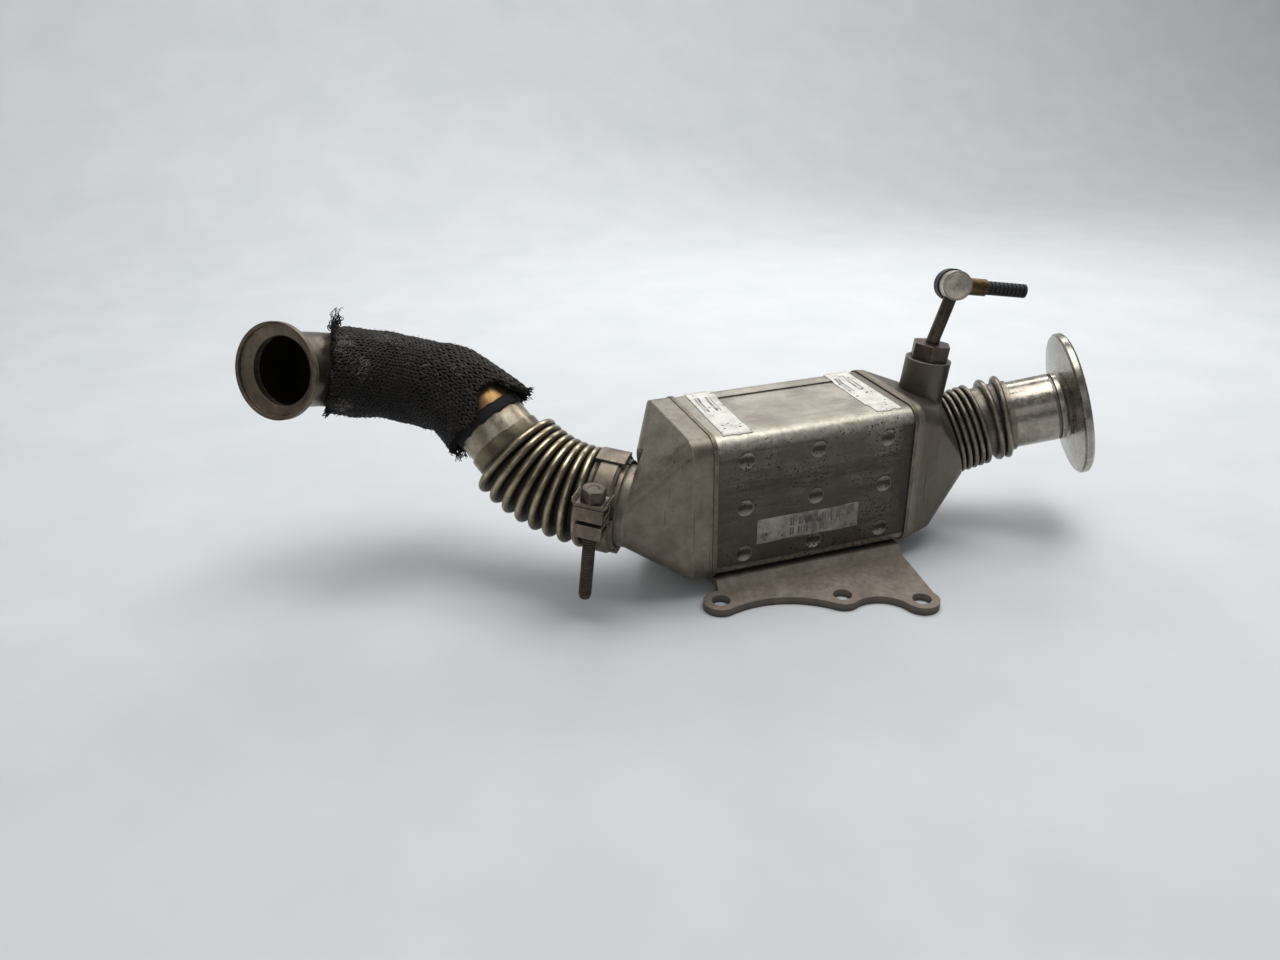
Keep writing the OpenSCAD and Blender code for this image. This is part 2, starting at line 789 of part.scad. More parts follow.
// Joint clamp: angles are measured about the joint, and the bolt crosses the gap at bolt_angle
bolt_angle = 104;
top_link_angle = 180;
bottom_link_angle = 355;
segment_gap = 4;
band_clearance = 0.4;
foot_clearance = 0.3;
band_inside = vee_radius + band_clearance;
band_radius = band_inside + clamp_sheet;
foot_radius = inlet_neck_radius + foot_clearance;
foot_length = 1.2;
band_round = 1;
clamp_leg = clamp_sheet / cos(vee_slope);
link_sheet = 1.2;
link_spread = 30;
link_edge = foot_radius + 3;
link_clearance = 0.3;
link_radius_out = band_radius + link_sheet;
bolt_radius = clamp_bolt_diameter / 2;
bolt_gap = 2.2;
bolt_side = band_radius + bolt_radius + bolt_gap;
loop_width = 13;
loop_thickness = 6.4;
loop_root = 3;
loop_margin = 3;
loop_inside = band_radius + clamp_sheet / 3;
nut_clearance = 0.2;
loop_gap = 2;
loop_middle = -band_radius * sin(bolt_angle - 90);
lower_loop = loop_middle + 0.4;
upper_loop = lower_loop - loop_gap - loop_thickness;

// Distance of the clamped face from the joint plane at a radius
function vee_face(radius) = vee_rim + (vee_radius - radius) * tan(vee_slope);

module segment_section() {
    foot_end = vee_face(foot_radius) + clamp_leg + foot_length;
    half = [
        [band_inside, vee_face(band_inside)], [foot_radius, vee_face(foot_radius)],
        [foot_radius, foot_end], [foot_radius + clamp_sheet, foot_end],
        [foot_radius + clamp_sheet, vee_face(foot_radius + clamp_sheet) + clamp_leg],
        [band_radius - band_round, vee_face(band_radius - band_round) + clamp_leg],
        [band_radius, vee_face(band_radius) + clamp_leg - band_round]];
    polygon([
        for (p = half) p,
        for (i = [len(half) - 1:-1:0]) [half[i].x, -half[i].y]]);
}

module segment(from, to) {
    rotate([0, 0, from])
        rotate_extrude(angle = to - from)
            segment_section();
}

// A sheet loop folded outwards from the end of a segment, open to both sides
module bolt_loop(x_from) {
    outer = bolt_side + bolt_radius + loop_margin;
    difference() {
        translate([x_from, band_radius - loop_root, -loop_width / 2])
            cube([loop_thickness, outer - band_radius + loop_root, loop_width]);
        translate([x_from + clamp_sheet, loop_inside, -loop_width / 2 - 1])
            cube([loop_thickness - 2 * clamp_sheet, outer - clamp_sheet - loop_inside, loop_width + 2]);
        translate([x_from - 1, bolt_side, 0])
            rotate([0, 90, 0])
                cylinder(r = bolt_radius + bolt_clearance, h = loop_thickness + 2);
        translate([0, 0, -loop_width])
            cylinder(r = band_radius - clamp_sheet / 3, h = 2 * loop_width);
    }
}

module clamp_upper_segment() {
    color(dull_steel)
        multmatrix(joint) {
            segment(bolt_angle + clamp_gap / 2, top_link_angle - segment_gap / 2);
            bolt_loop(upper_loop);
        }
}

module clamp_back_segment() {
    color(dull_steel)
        multmatrix(joint)
            segment(top_link_angle + segment_gap / 2, bottom_link_angle - segment_gap / 2);
}

module clamp_lower_segment() {
    color(dull_steel)
        multmatrix(joint) {
            segment(bottom_link_angle + segment_gap / 2 - 360, bolt_angle - clamp_gap / 2);
            bolt_loop(lower_loop);
        }
}

// A sheet link over two segment ends, with its edges turned down beside the band
module segment_link(angle) {
    inner = vee_face(link_edge) + clamp_leg + link_clearance;
    outer = inner + link_sheet;
    rotate([0, 0, angle - link_spread / 2])
        rotate_extrude(angle = link_spread)
            polygon([
                [band_radius, -inner], [band_radius, inner], [link_edge, inner], [link_edge, outer],
                [link_radius_out, outer], [link_radius_out, -outer], [link_edge, -outer], [link_edge, -inner]]);
}

module clamp_top_link() {
    color(steel)
        multmatrix(joint)
            segment_link(top_link_angle);
}

module clamp_bottom_link() {
    color(steel)
        multmatrix(joint)
            segment_link(bottom_link_angle);
}

// The bolt's head sits on the saddle above the upper loop, and its tail hangs below the lower loop
saddle_height = 2;
head_seat = upper_loop - saddle_height;
bolt_head_across = 10;
bolt_head_height = 6;

module clamp_bolt() {
    tail_end = lower_loop + loop_thickness + bolt_tail;
    color(dark_steel)
        multmatrix(joint)
            translate([0, bolt_side, 0])
                rotate([0, 90, 0]) {
                    translate([0, 0, head_seat])
                        cylinder(r = bolt_radius, h = tail_end - head_seat);
                    translate([0, 0, head_seat - bolt_head_height])
                        cylinder(d = bolt_head_across / cos(30), h = bolt_head_height, $fn = 6);
                }
}

// A sheet saddle with its ears turned up beside the bolt's head
module clamp_trunnion() {
    flat = bolt_head_across / cos(30) / 2 + bolt_clearance;
    ear = 2;
    depth = bolt_head_across + 1;
    color(steel)
        multmatrix(joint)
            translate([head_seat, bolt_side, 0])
                difference() {
                    translate([0, depth / 2, 0])
                        rotate([90, 0, 0])
                            linear_extrude(depth)
                                polygon([
                                    [0, -flat], [-ear, -flat - ear], [saddle_height - ear, -flat - ear],
                                    [saddle_height, -flat], [saddle_height, flat],
                                    [saddle_height - ear, flat + ear], [-ear, flat + ear], [0, flat]]);
                    translate([-1, 0, 0])
                        rotate([0, 90, 0])
                            cylinder(r = bolt_radius + bolt_clearance, h = saddle_height + 2);
                }
}

// A square nut held inside the lower loop
module clamp_nut() {
    height = loop_thickness - 2 * clamp_sheet;
    across = 2 * (bolt_side - loop_inside - nut_clearance);
    color(dark_steel)
        multmatrix(joint)
            translate([lower_loop + clamp_sheet, bolt_side, 0])
                difference() {
                    translate([0, -across / 2, -across / 2])
                        cube([height, across, across]);
                    translate([-1, 0, 0])
                        rotate([0, 90, 0])
                            cylinder(r = bolt_radius, h = height + 2);
                }
}

// Outlet tank: its underside slopes up from the rim, its front and back turn in at a shoulder
shoulder_inset = [2.6, 2, 5.2];

module outlet_tank_form(shrink) {
    rim_from = core_end + header_thickness;
    rim_to = rim_from + outlet_rim_depth;
    past = shrink > 0 ? 1 : 0;
    core_section(rim_from - past, outlet_rim_depth + past, header_lip / 2 - shrink);
    hull() {
        corner_bars(rim_to, 1, [0, 0, 0], shrink);
        corner_bars(rim_from + shoulder_depth, 1, shoulder_inset, shrink);
        multmatrix(outlet_neck * ahead(-seam_bite - shrink))
            cylinder(r = outlet_end_radius - shrink, h = seam_bite, $fn = 48);
    }
}

module boss_hole(radius) {
    multmatrix(boss_head * ahead(-boss_length))
        cylinder(r = radius, h = boss_length);
}

module outlet_tank() {
    color(steel)
        difference() {
            outlet_tank_form(0);
            outlet_tank_form(sheet);
            multmatrix(outlet_neck * ahead(-5 * sheet))
                cylinder(r = outlet_root - fold_wall, h = 6 * sheet);
            boss_hole(boss_radius);
        }
}

module outlet_bellows() {
    inside = outlet_root - fold_wall;
    collar_length = 3;
    color(dull_steel) {
        multmatrix(outlet_neck) {
            ring(outlet_root, inside, outlet_collar + seam_bite);
            for (i = [0:narrow_count - 1])
                translate([0, 0, outlet_collar + i * narrow_pitch]) {
                    fold(outlet_root, outlet_crest, narrow_width, fold_wall);
                    if (i < narrow_count - 1)
                        translate([0, 0, narrow_width])
                            straight_link(outlet_root, inside, narrow_link);
                }
        }
        multmatrix(narrow_end)
            straight_link(outlet_root + seam_step, inside - seam_step, plain_band);
        multmatrix(band_end)
            bent_link(band_bend, bellows_bend_radius, outlet_roll, outlet_root, inside);
        multmatrix(first_wide) {
            fold(outlet_root, outlet_crest, wide_width, fold_wall);
            translate([0, 0, wide_width])
                bent_link(wide_bend, bellows_bend_radius, outlet_roll, outlet_root, inside);
        }
        multmatrix(second_wide) {
            fold(outlet_root, outlet_crest, wide_width, fold_wall);
            translate([0, 0, wide_width - seam_bite])
                ring(outlet_root, outlet_pipe_radius, collar_length);
        }
    }
}

module outlet_pipe() {
    color(bright_steel)
        multmatrix(outlet_pipe_start)
            ring(outlet_pipe_radius, outlet_pipe_radius - outlet_pipe_wall, outlet_pipe_length);
}

// The flange plugs into the pipe, leaves a groove at the pipe's end and swells to a disc with a rounded rim
module outlet_flange() {
    plug_radius = outlet_pipe_radius - outlet_pipe_wall;
    plug = 4;
    groove = 1.6;
    neck_round = 1.6;
    dish = 2.4;
    rim_round = 1;
    back = flange_neck + dish;
    face = back + flange_rim;
    color(bright_steel)
        multmatrix(flange_frame)
            rotate_extrude(angle = 360)
                polygon([
                    [flange_bore, -plug], [plug_radius, -plug], [plug_radius, groove],
                    [outlet_pipe_radius, groove], [outlet_pipe_radius, flange_neck - neck_round / 2],
                    [outlet_pipe_radius + neck_round, flange_neck], [flange_radius - rim_round, back],
                    [flange_radius, back + rim_round], [flange_radius, face - rim_round],
                    [flange_radius - rim_round, face], [flange_bore, face]]);
}

// Temperature sensor
thread_radius = 7;
stem_clearance = 0.15;

module sensor_boss() {
    color(steel)
        difference() {
            multmatrix(boss_head * ahead(-boss_length))
                cylinder(r = boss_radius, h = boss_length);
            multmatrix(boss_head * ahead(-boss_length - 1))
                cylinder(r = thread_radius, h = boss_length + 2);
        }
}

module sensor_nut() {
    shank = 14;
    color(dark_steel)
        multmatrix(boss_head)
            difference() {
                union() {
                    cylinder(d = nut_across / cos(30), h = nut_height, $fn = 6);
                    translate([0, 0, -shank])
                        cylinder(r = thread_radius, h = shank);
                }
                translate([0, 0, -shank - 1])
                    cylinder(r = stem_radius + stem_clearance, h = shank + nut_height + 2);
            }
}

module sensor_stem() {
    tip = boss_length + probe_depth;
    color(dark_steel)
        difference() {
            union() {
                multmatrix(boss_head * ahead(-tip))
                    cylinder(r = stem_radius, h = tip + elbow_height);
                multmatrix(stem_elbow) {
                    sphere(stem_radius + seam_step);
                    cylinder(r = stem_radius, h = stem_length);
                }
            }
            multmatrix(head_facing)
                translate([0, 0, -2 * head_radius])
                    cylinder(r = head_radius, h = 4 * head_radius);
        }
}

// Round metal cap in front of a rubber boot
head_thickness = 7;
boot_thickness = 6;
boot_lip = 0.7;
ferrule_wall = 0.8;
boot_clearance = 0.2;

module sensor_head() {
    dome = 1.6;
    dome_edge = head_radius - 1;
    sphere_radius = (pow(dome_edge, 2) + pow(dome, 2)) / (2 * dome);
    color(bright_steel)
        multmatrix(head_facing * ahead(-head_thickness / 2)) {
            cylinder(r = head_radius, h = head_thickness);
            intersection() {
                translate([0, 0, head_thickness - sphere_radius + dome])
                    sphere(sphere_radius, $fn = 128);
                translate([0, 0, head_thickness])
                    cylinder(r = dome_edge, h = 2 * dome);
            }
        }
}

module sensor_boot() {
    color(black_rubber)
        difference() {
            multmatrix(head_facing * ahead(-head_thickness / 2 - boot_thickness))
                cylinder(r = head_radius + boot_lip, h = boot_thickness);
            multmatrix(lead_start)
                cylinder(r = lead_radius + ferrule_wall + boot_clearance, h = 4 * head_radius);
            multmatrix(stem_elbow)
                cylinder(r = stem_radius + boot_clearance, h = stem_length);
        }
}

module lead_ferrule() {
    color(brass)
        difference() {
            multmatrix(lead_start)
                cylinder(r = lead_radius + ferrule_wall, h = ferrule_length);
            multmatrix(head_facing)
                translate([0, 0, -2 * head_radius])
                    cylinder(r = head_radius, h = 4 * head_radius);
        }
}

// Ribbed sleeve on the lead, cut off square
module lead_sleeve() {
    rib_height = 0.5;
    rib_count = floor(lead_length / 2);
    rib_pitch = lead_length / rib_count;
    rib_width = rib_pitch * 0.7;
    color(black_rubber)
        multmatrix(lead_start * ahead(ferrule_length))
            rotate_extrude(angle = 360) {
                square([lead_radius - rib_height, lead_length]);
                for (i = [0:rib_count - 1])
                    translate([0, i * rib_pitch + (rib_pitch - rib_width) / 2])
                        square([lead_radius, rib_width]);
            }
}

core_casing();
inlet_header_plate();
outlet_header_plate();
gas_tubes();
coolant_inlet_spigot();
coolant_outlet_spigot();
mounting_bracket();
inlet_tank();
tank_vee_flange();
joint_gasket();
bellows_vee_flange();
inlet_bellows();
inlet_pipe();
inlet_mouth();
insulation_sleeve();
clamp_upper_segment();
clamp_back_segment();
clamp_lower_segment();
clamp_top_link();
clamp_bottom_link();
clamp_bolt();
clamp_trunnion();
clamp_nut();
outlet_tank();
outlet_bellows();
outlet_pipe();
outlet_flange();
sensor_boss();
sensor_nut();
sensor_stem();
sensor_head();
sensor_boot();
lead_ferrule();
lead_sleeve();
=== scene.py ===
import json
import math

import bpy
import numpy as np
from mathutils import Matrix, Vector


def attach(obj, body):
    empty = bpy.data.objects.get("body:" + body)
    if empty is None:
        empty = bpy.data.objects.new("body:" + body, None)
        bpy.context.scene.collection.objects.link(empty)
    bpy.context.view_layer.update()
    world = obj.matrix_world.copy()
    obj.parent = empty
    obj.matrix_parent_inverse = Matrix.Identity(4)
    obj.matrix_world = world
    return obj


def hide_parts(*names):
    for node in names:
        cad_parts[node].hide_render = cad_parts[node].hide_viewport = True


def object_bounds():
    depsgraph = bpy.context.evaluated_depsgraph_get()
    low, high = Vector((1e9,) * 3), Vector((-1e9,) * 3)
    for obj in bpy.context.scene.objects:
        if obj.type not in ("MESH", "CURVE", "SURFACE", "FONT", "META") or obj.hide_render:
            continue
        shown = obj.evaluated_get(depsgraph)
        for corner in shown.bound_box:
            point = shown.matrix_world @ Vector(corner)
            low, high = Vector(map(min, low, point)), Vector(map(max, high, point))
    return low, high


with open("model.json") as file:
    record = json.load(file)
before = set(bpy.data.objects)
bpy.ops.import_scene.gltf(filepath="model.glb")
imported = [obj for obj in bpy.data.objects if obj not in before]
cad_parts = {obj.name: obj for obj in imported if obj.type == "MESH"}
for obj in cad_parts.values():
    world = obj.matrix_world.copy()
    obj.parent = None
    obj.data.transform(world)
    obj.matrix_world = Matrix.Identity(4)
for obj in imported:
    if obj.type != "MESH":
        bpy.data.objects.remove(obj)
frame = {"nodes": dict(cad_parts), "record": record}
cad_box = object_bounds()

# Camera: stands to the front left of the cooler, above it, and looks down on the core.
# The lens has the field of a telephone's main camera.
MM = 0.001
eye = (-159.0, -360.8, 260.0)
camera_heading = 18.40
camera_tilt = 26.10
camera_roll = -1.09
camera_lens = 27.84
camera_data = bpy.data.cameras.new("camera")
camera_data.lens = camera_lens
camera_data.sensor_width = 36
camera = bpy.data.objects.new("camera", camera_data)
camera.matrix_world = (
    Matrix.Translation(Vector(eye) * MM)
    @ Matrix.Rotation(math.radians(-camera_heading), 4, "Z")
    @ Matrix.Rotation(math.radians(90 - camera_tilt), 4, "X")
    @ Matrix.Rotation(math.radians(camera_roll), 4, "Z")
)
bpy.context.scene.collection.objects.link(camera)
bpy.context.scene.camera = camera
bpy.context.scene.view_settings.view_transform = "Standard"


# Studio: a pale painted floor that sweeps up into a wall, lit by one broad lamp overhead,
# a weaker one in front, a strip behind that draws light along the metal's upper edges, and one on the wall.
def linear(code):
    """A colour written as sRGB hex, as linear red, green, blue and alpha."""
    parts = [int(code[i : i + 2], 16) / 255 for i in (1, 3, 5)]
    return tuple(c / 12.92 if c <= 0.04045 else ((c + 0.055) / 1.055) ** 2.4 for c in parts) + (1.0,)


def feed(tree, node, inputs):
    """Sets a node's inputs, by name or number, to values and hex colours, or links them to other nodes."""
    for name, value in inputs.items():
        if isinstance(value, bpy.types.Node):
            value = next(output for output in value.outputs if output.enabled)
        if isinstance(value, bpy.types.NodeSocket):
            tree.links.new(value, node.inputs[name])
        else:
            node.inputs[name].default_value = linear(value) if isinstance(value, str) else value


def add(tree, kind, inputs=None, stops=None, **settings):
    """Adds one shader node, with its settings, its inputs and the stops of its colour ramp."""
    made = tree.nodes.new("ShaderNode" + kind)
    for name, value in settings.items():
        setattr(made, name, value)
    for i, (place, shade) in enumerate(stops or []):
        element = made.color_ramp.elements[i] if i < 2 else made.color_ramp.elements.new(place)
        element.position = place
        element.color = linear(shade)
    feed(tree, made, inputs or {})
    return made


def new_material(name):
    """An empty material with its Principled shader, and the place on the object in metres."""
    made = bpy.data.materials.new(name)
    made.use_nodes = True
    tree = made.node_tree
    return made, tree, tree.nodes["Principled BSDF"], add(tree, "TexCoord").outputs["Object"]


def new_piece(name, points, faces, material, smooth=True):
    """A mesh object from points in millimetres."""
    mesh = bpy.data.meshes.new(name)
    mesh.from_pydata((np.asarray(points, dtype=float) * MM).tolist(), [], faces)
    mesh.polygons.foreach_set("use_smooth", [smooth] * len(mesh.polygons))
    mesh.materials.append(material)
    mesh.update()
    made = bpy.data.objects.new(name, mesh)
    bpy.context.scene.collection.objects.link(made)
    return made


floor_level = cad_box[0][2] / MM
floor_half_width = 30000
floor_front = -30000
wall_foot = 700
sweep_radius = 500
wall_top = 12000
sweep_steps = 16
profile = [(floor_front, floor_level)]
for i in range(sweep_steps + 1):
    lean = math.pi / 2 * i / sweep_steps
    rise = floor_level + sweep_radius * (1 - math.cos(lean))
    profile.append((wall_foot + sweep_radius * math.sin(lean), rise))
profile.append((wall_foot + sweep_radius, wall_top))
sweep_points = [(x, y, z) for y, z in profile for x in (-floor_half_width, floor_half_width)]
sweep_faces = [(2 * i, 2 * i + 1, 2 * i + 3, 2 * i + 2) for i in range(len(profile) - 1)]

# Matt emulsion paint on board: an even pale grey with a faint roller mottle.
floor_paint, tree, shader, place = new_material("matt_painted_board")
roller_mm = 60
mottle = add(tree, "TexNoise", {"Vector": place, "Scale": 1000 / roller_mm, "Detail": 4})
tone = add(tree, "ValToRGB", {"Fac": mottle}, stops=[(0.3, "#d3d6d8"), (0.7, "#dadcdd")])
feed(tree, shader, {"Base Color": tone, "Roughness": 0.9, "Specular IOR Level": 0.15})
studio_floor = new_piece("studio_floor", sweep_points, sweep_faces, floor_paint)

# Each lamp: its place, the point that it faces, its two sides and its power in watts.
lamps = {
    "overhead_lamp": ((220, 240, 1500), (0, 60, 60), (1300, 1000), 16.0),
    "front_lamp": ((-700, -1100, 800), (0, 40, 60), (1000, 700), 1.2),
    "rear_strip": ((420, 560, 520), (60, 40, 80), (700, 120), 1.8),
    "wall_lamp": ((250, 300, 1500), (250, 1200, 500), (2600, 500), 5.0),
}
for name, (stand, target, sides, watts) in lamps.items():
    data = bpy.data.lights.new(name, "AREA")
    data.shape = "RECTANGLE"
    data.size, data.size_y = (side * MM for side in sides)
    data.energy = watts
    lamp = bpy.data.objects.new(name, data)
    lamp.location = Vector(stand) * MM
    lamp.rotation_euler = (Vector(target) - Vector(stand)).to_track_quat("-Z", "Y").to_euler()
    bpy.context.scene.collection.objects.link(lamp)
studio_air = bpy.data.worlds.new("studio_air")
studio_air.use_nodes = True
tree = studio_air.node_tree
feed(tree, tree.nodes["Background"], {"Color": "#c9ced2", "Strength": 0.38})
bpy.context.scene.world = studio_air


# Casing: a box of drawn stainless sheet, folded with rounded long edges and brazed to the header plates,
# with dimples pressed in both sides. Years of heat have browned it, and soot has spattered its front.
def stain_or_light(tree, tone, value, begins, full, share, shade):
    """Lays a shade over a tone: none of it where a value begins, its whole share where the value is full."""
    amount = add(tree, "MapRange", {"Value": value, "From Min": begins, "From Max": full, "To Max": share})
    return add(tree, "Mix", {0: amount, 6: tone, 7: shade}, data_type="RGBA")


def apart(tree, value, middle):
    """How far a value lies from a middle, to either side."""
    off = add(tree, "Math", {0: value, 1: middle}, operation="SUBTRACT")
    return add(tree, "Math", {0: off}, operation="ABSOLUTE")


def aged_metal(
    name, shades, grime_and_shade, patch, roughness, metallic=0.85, specks=(), zones=(0.36, 0.66), on_top=1.0,
    crevice=4.0, shelter=(0.78, 0.3), rub="#b9b0a0", edge=0.45, grit=0.7, bump=0.03, stains_and_light=None,
):
    """A used metal surface: three shades drifting in patches, soot specks, dirt and painted shade in corners,
    rubbed edges. Each pair in specks is how thick they lie and how large they are. zones is how they gather,
    and on_top their share on what looks up. shelter is the openness at which dirt and painted shade begin and
    that at which they are full. A function given for stains may lay a piece's own stains and painted light
    over the shades, from tree, place and tone. Sizes are in millimetres."""
    made, tree, shader, place = new_material(name)
    geometry = add(tree, "NewGeometry")
    # The shades drift over a patch, and a mottle six times finer darkens them.
    drift = add(tree, "TexNoise", {"Vector": place, "Scale": 1000 / patch, "Detail": 6, "Roughness": 0.62})
    mottle = add(tree, "TexNoise", {"Vector": place, "Scale": 6000 / patch, "Detail": 5, "Roughness": 0.65})
    stops = [(0.32, shades[0]), (0.68, shades[2]), (0.5, shades[1])]
    tone = add(tree, "ValToRGB", {"Fac": drift}, stops=stops)
    shading = add(tree, "ValToRGB", {"Fac": mottle}, stops=[(0.3, "#c4c1bb"), (0.66, "#ffffff")])
    tone = add(tree, "Mix", {0: 0.8, 6: tone, 7: shading}, data_type="RGBA", blend_type="MULTIPLY")
    if stains_and_light:
        tone = stains_and_light(tree, place, tone)
    # A corner is where the rounded normal leaves the true one, and hands have rubbed it bright.
    rounded = add(tree, "Bevel", {"Radius": edge * MM}, samples=4)
    facing = add(tree, "VectorMath", {0: rounded, 1: geometry.outputs["Normal"]}, operation="DOT_PRODUCT")
    corner = add(tree, "MapRange", {"Value": facing, "From Min": 0.995, "From Max": 0.93})
    rubbed = add(tree, "Math", {0: corner, 1: mottle}, operation="MULTIPLY", use_clamp=True)
    tone = add(tree, "Mix", {0: rubbed, 6: tone, 7: rub}, data_type="RGBA")
    # Dirt and painted shade darken where a surface is sheltered, and soot lies as specks in warped cells of
    # uneven size.
    openness = add(tree, "AmbientOcclusion", {"Distance": crevice * MM}, samples=6).outputs["AO"]
    dirt_and_shade = add(tree, "MapRange", {"Value": openness, "From Min": shelter[0], "From Max": shelter[1]})
    for thickness, speck_size in specks:
        warp = add(tree, "TexNoise", {"Vector": place, "Scale": 700 / speck_size, "Detail": 2})
        shift = {0: warp.outputs["Color"], 1: (2 * speck_size * MM,) * 3, 2: place}
        shifted = add(tree, "VectorMath", shift, operation="MULTIPLY_ADD")
        cells = add(tree, "TexVoronoi", {"Vector": shifted, "Scale": 450 / speck_size})
        chance = add(tree, "SeparateColor", {"Color": cells.outputs["Color"]})
        zone = add(tree, "MapRange", {"Value": drift, "From Min": zones[0], "From Max": zones[1]})
        upward = add(tree, "SeparateXYZ", {"Vector": geometry.outputs["Normal"]})
        share = add(tree, "MapRange", {
            "Value": upward.outputs["Z"], "From Min": 0.4, "From Max": 0.9,
            "To Min": thickness, "To Max": thickness * on_top,
        })
        reach = add(tree, "Math", {0: chance.outputs["Red"], 1: zone}, operation="MULTIPLY")
        reach = add(tree, "Math", {0: reach, 1: share}, operation="MULTIPLY")
        spot = add(tree, "Math", {0: reach, 1: cells}, operation="SUBTRACT")
        spot = add(tree, "MapRange", {"Value": spot, "From Min": 0.0, "From Max": 0.05})
        dirt_and_shade = add(tree, "Math", {0: dirt_and_shade, 1: spot}, operation="MAXIMUM")
    tone = add(tree, "Mix", {0: dirt_and_shade, 6: tone, 7: grime_and_shade}, data_type="RGBA")
    # Dirt and painted shade take the metal's shine, and the mottle makes its gloss uneven.
    shine = add(tree, "MapRange", {"Value": dirt_and_shade, "To Min": metallic, "To Max": 0.1})
    dullness = add(tree, "MapRange", {
        "Value": mottle, "From Min": 0.3, "From Max": 0.7,
        "To Min": roughness - 0.08, "To Max": roughness + 0.1,
    })
    dullness = add(tree, "Math", {0: dirt_and_shade, 1: 0.3, 2: dullness}, operation="MULTIPLY_ADD", use_clamp=True)
    grain = add(tree, "TexNoise", {"Vector": place, "Scale": 1000 / grit, "Detail": 3})
    relief = add(tree, "Bump", {"Strength": 0.5, "Distance": bump * MM, "Height": grain, "Normal": rounded})
    feed(tree, shader, {"Base Color": tone, "Metallic": shine, "Roughness": dullness, "Normal": relief})
    return made


def dress(material, *nodes):
    """Gives the model's own pieces their material."""
    for node in nodes:
        for slot in frame["nodes"][node].material_slots:
            slot.material = material


casing_length = 102.0
casing_height = 72.5
casing_front = 11.0
casing_top = 80.5
casing_middle_x, casing_middle_z = 53.0, 44.25
dimple_pitch = (0.36 * casing_length, 0.335 * casing_height)
dimple_radius = 4.0
top_panel = ((9.0, 97.0), (25.25, 61.25))


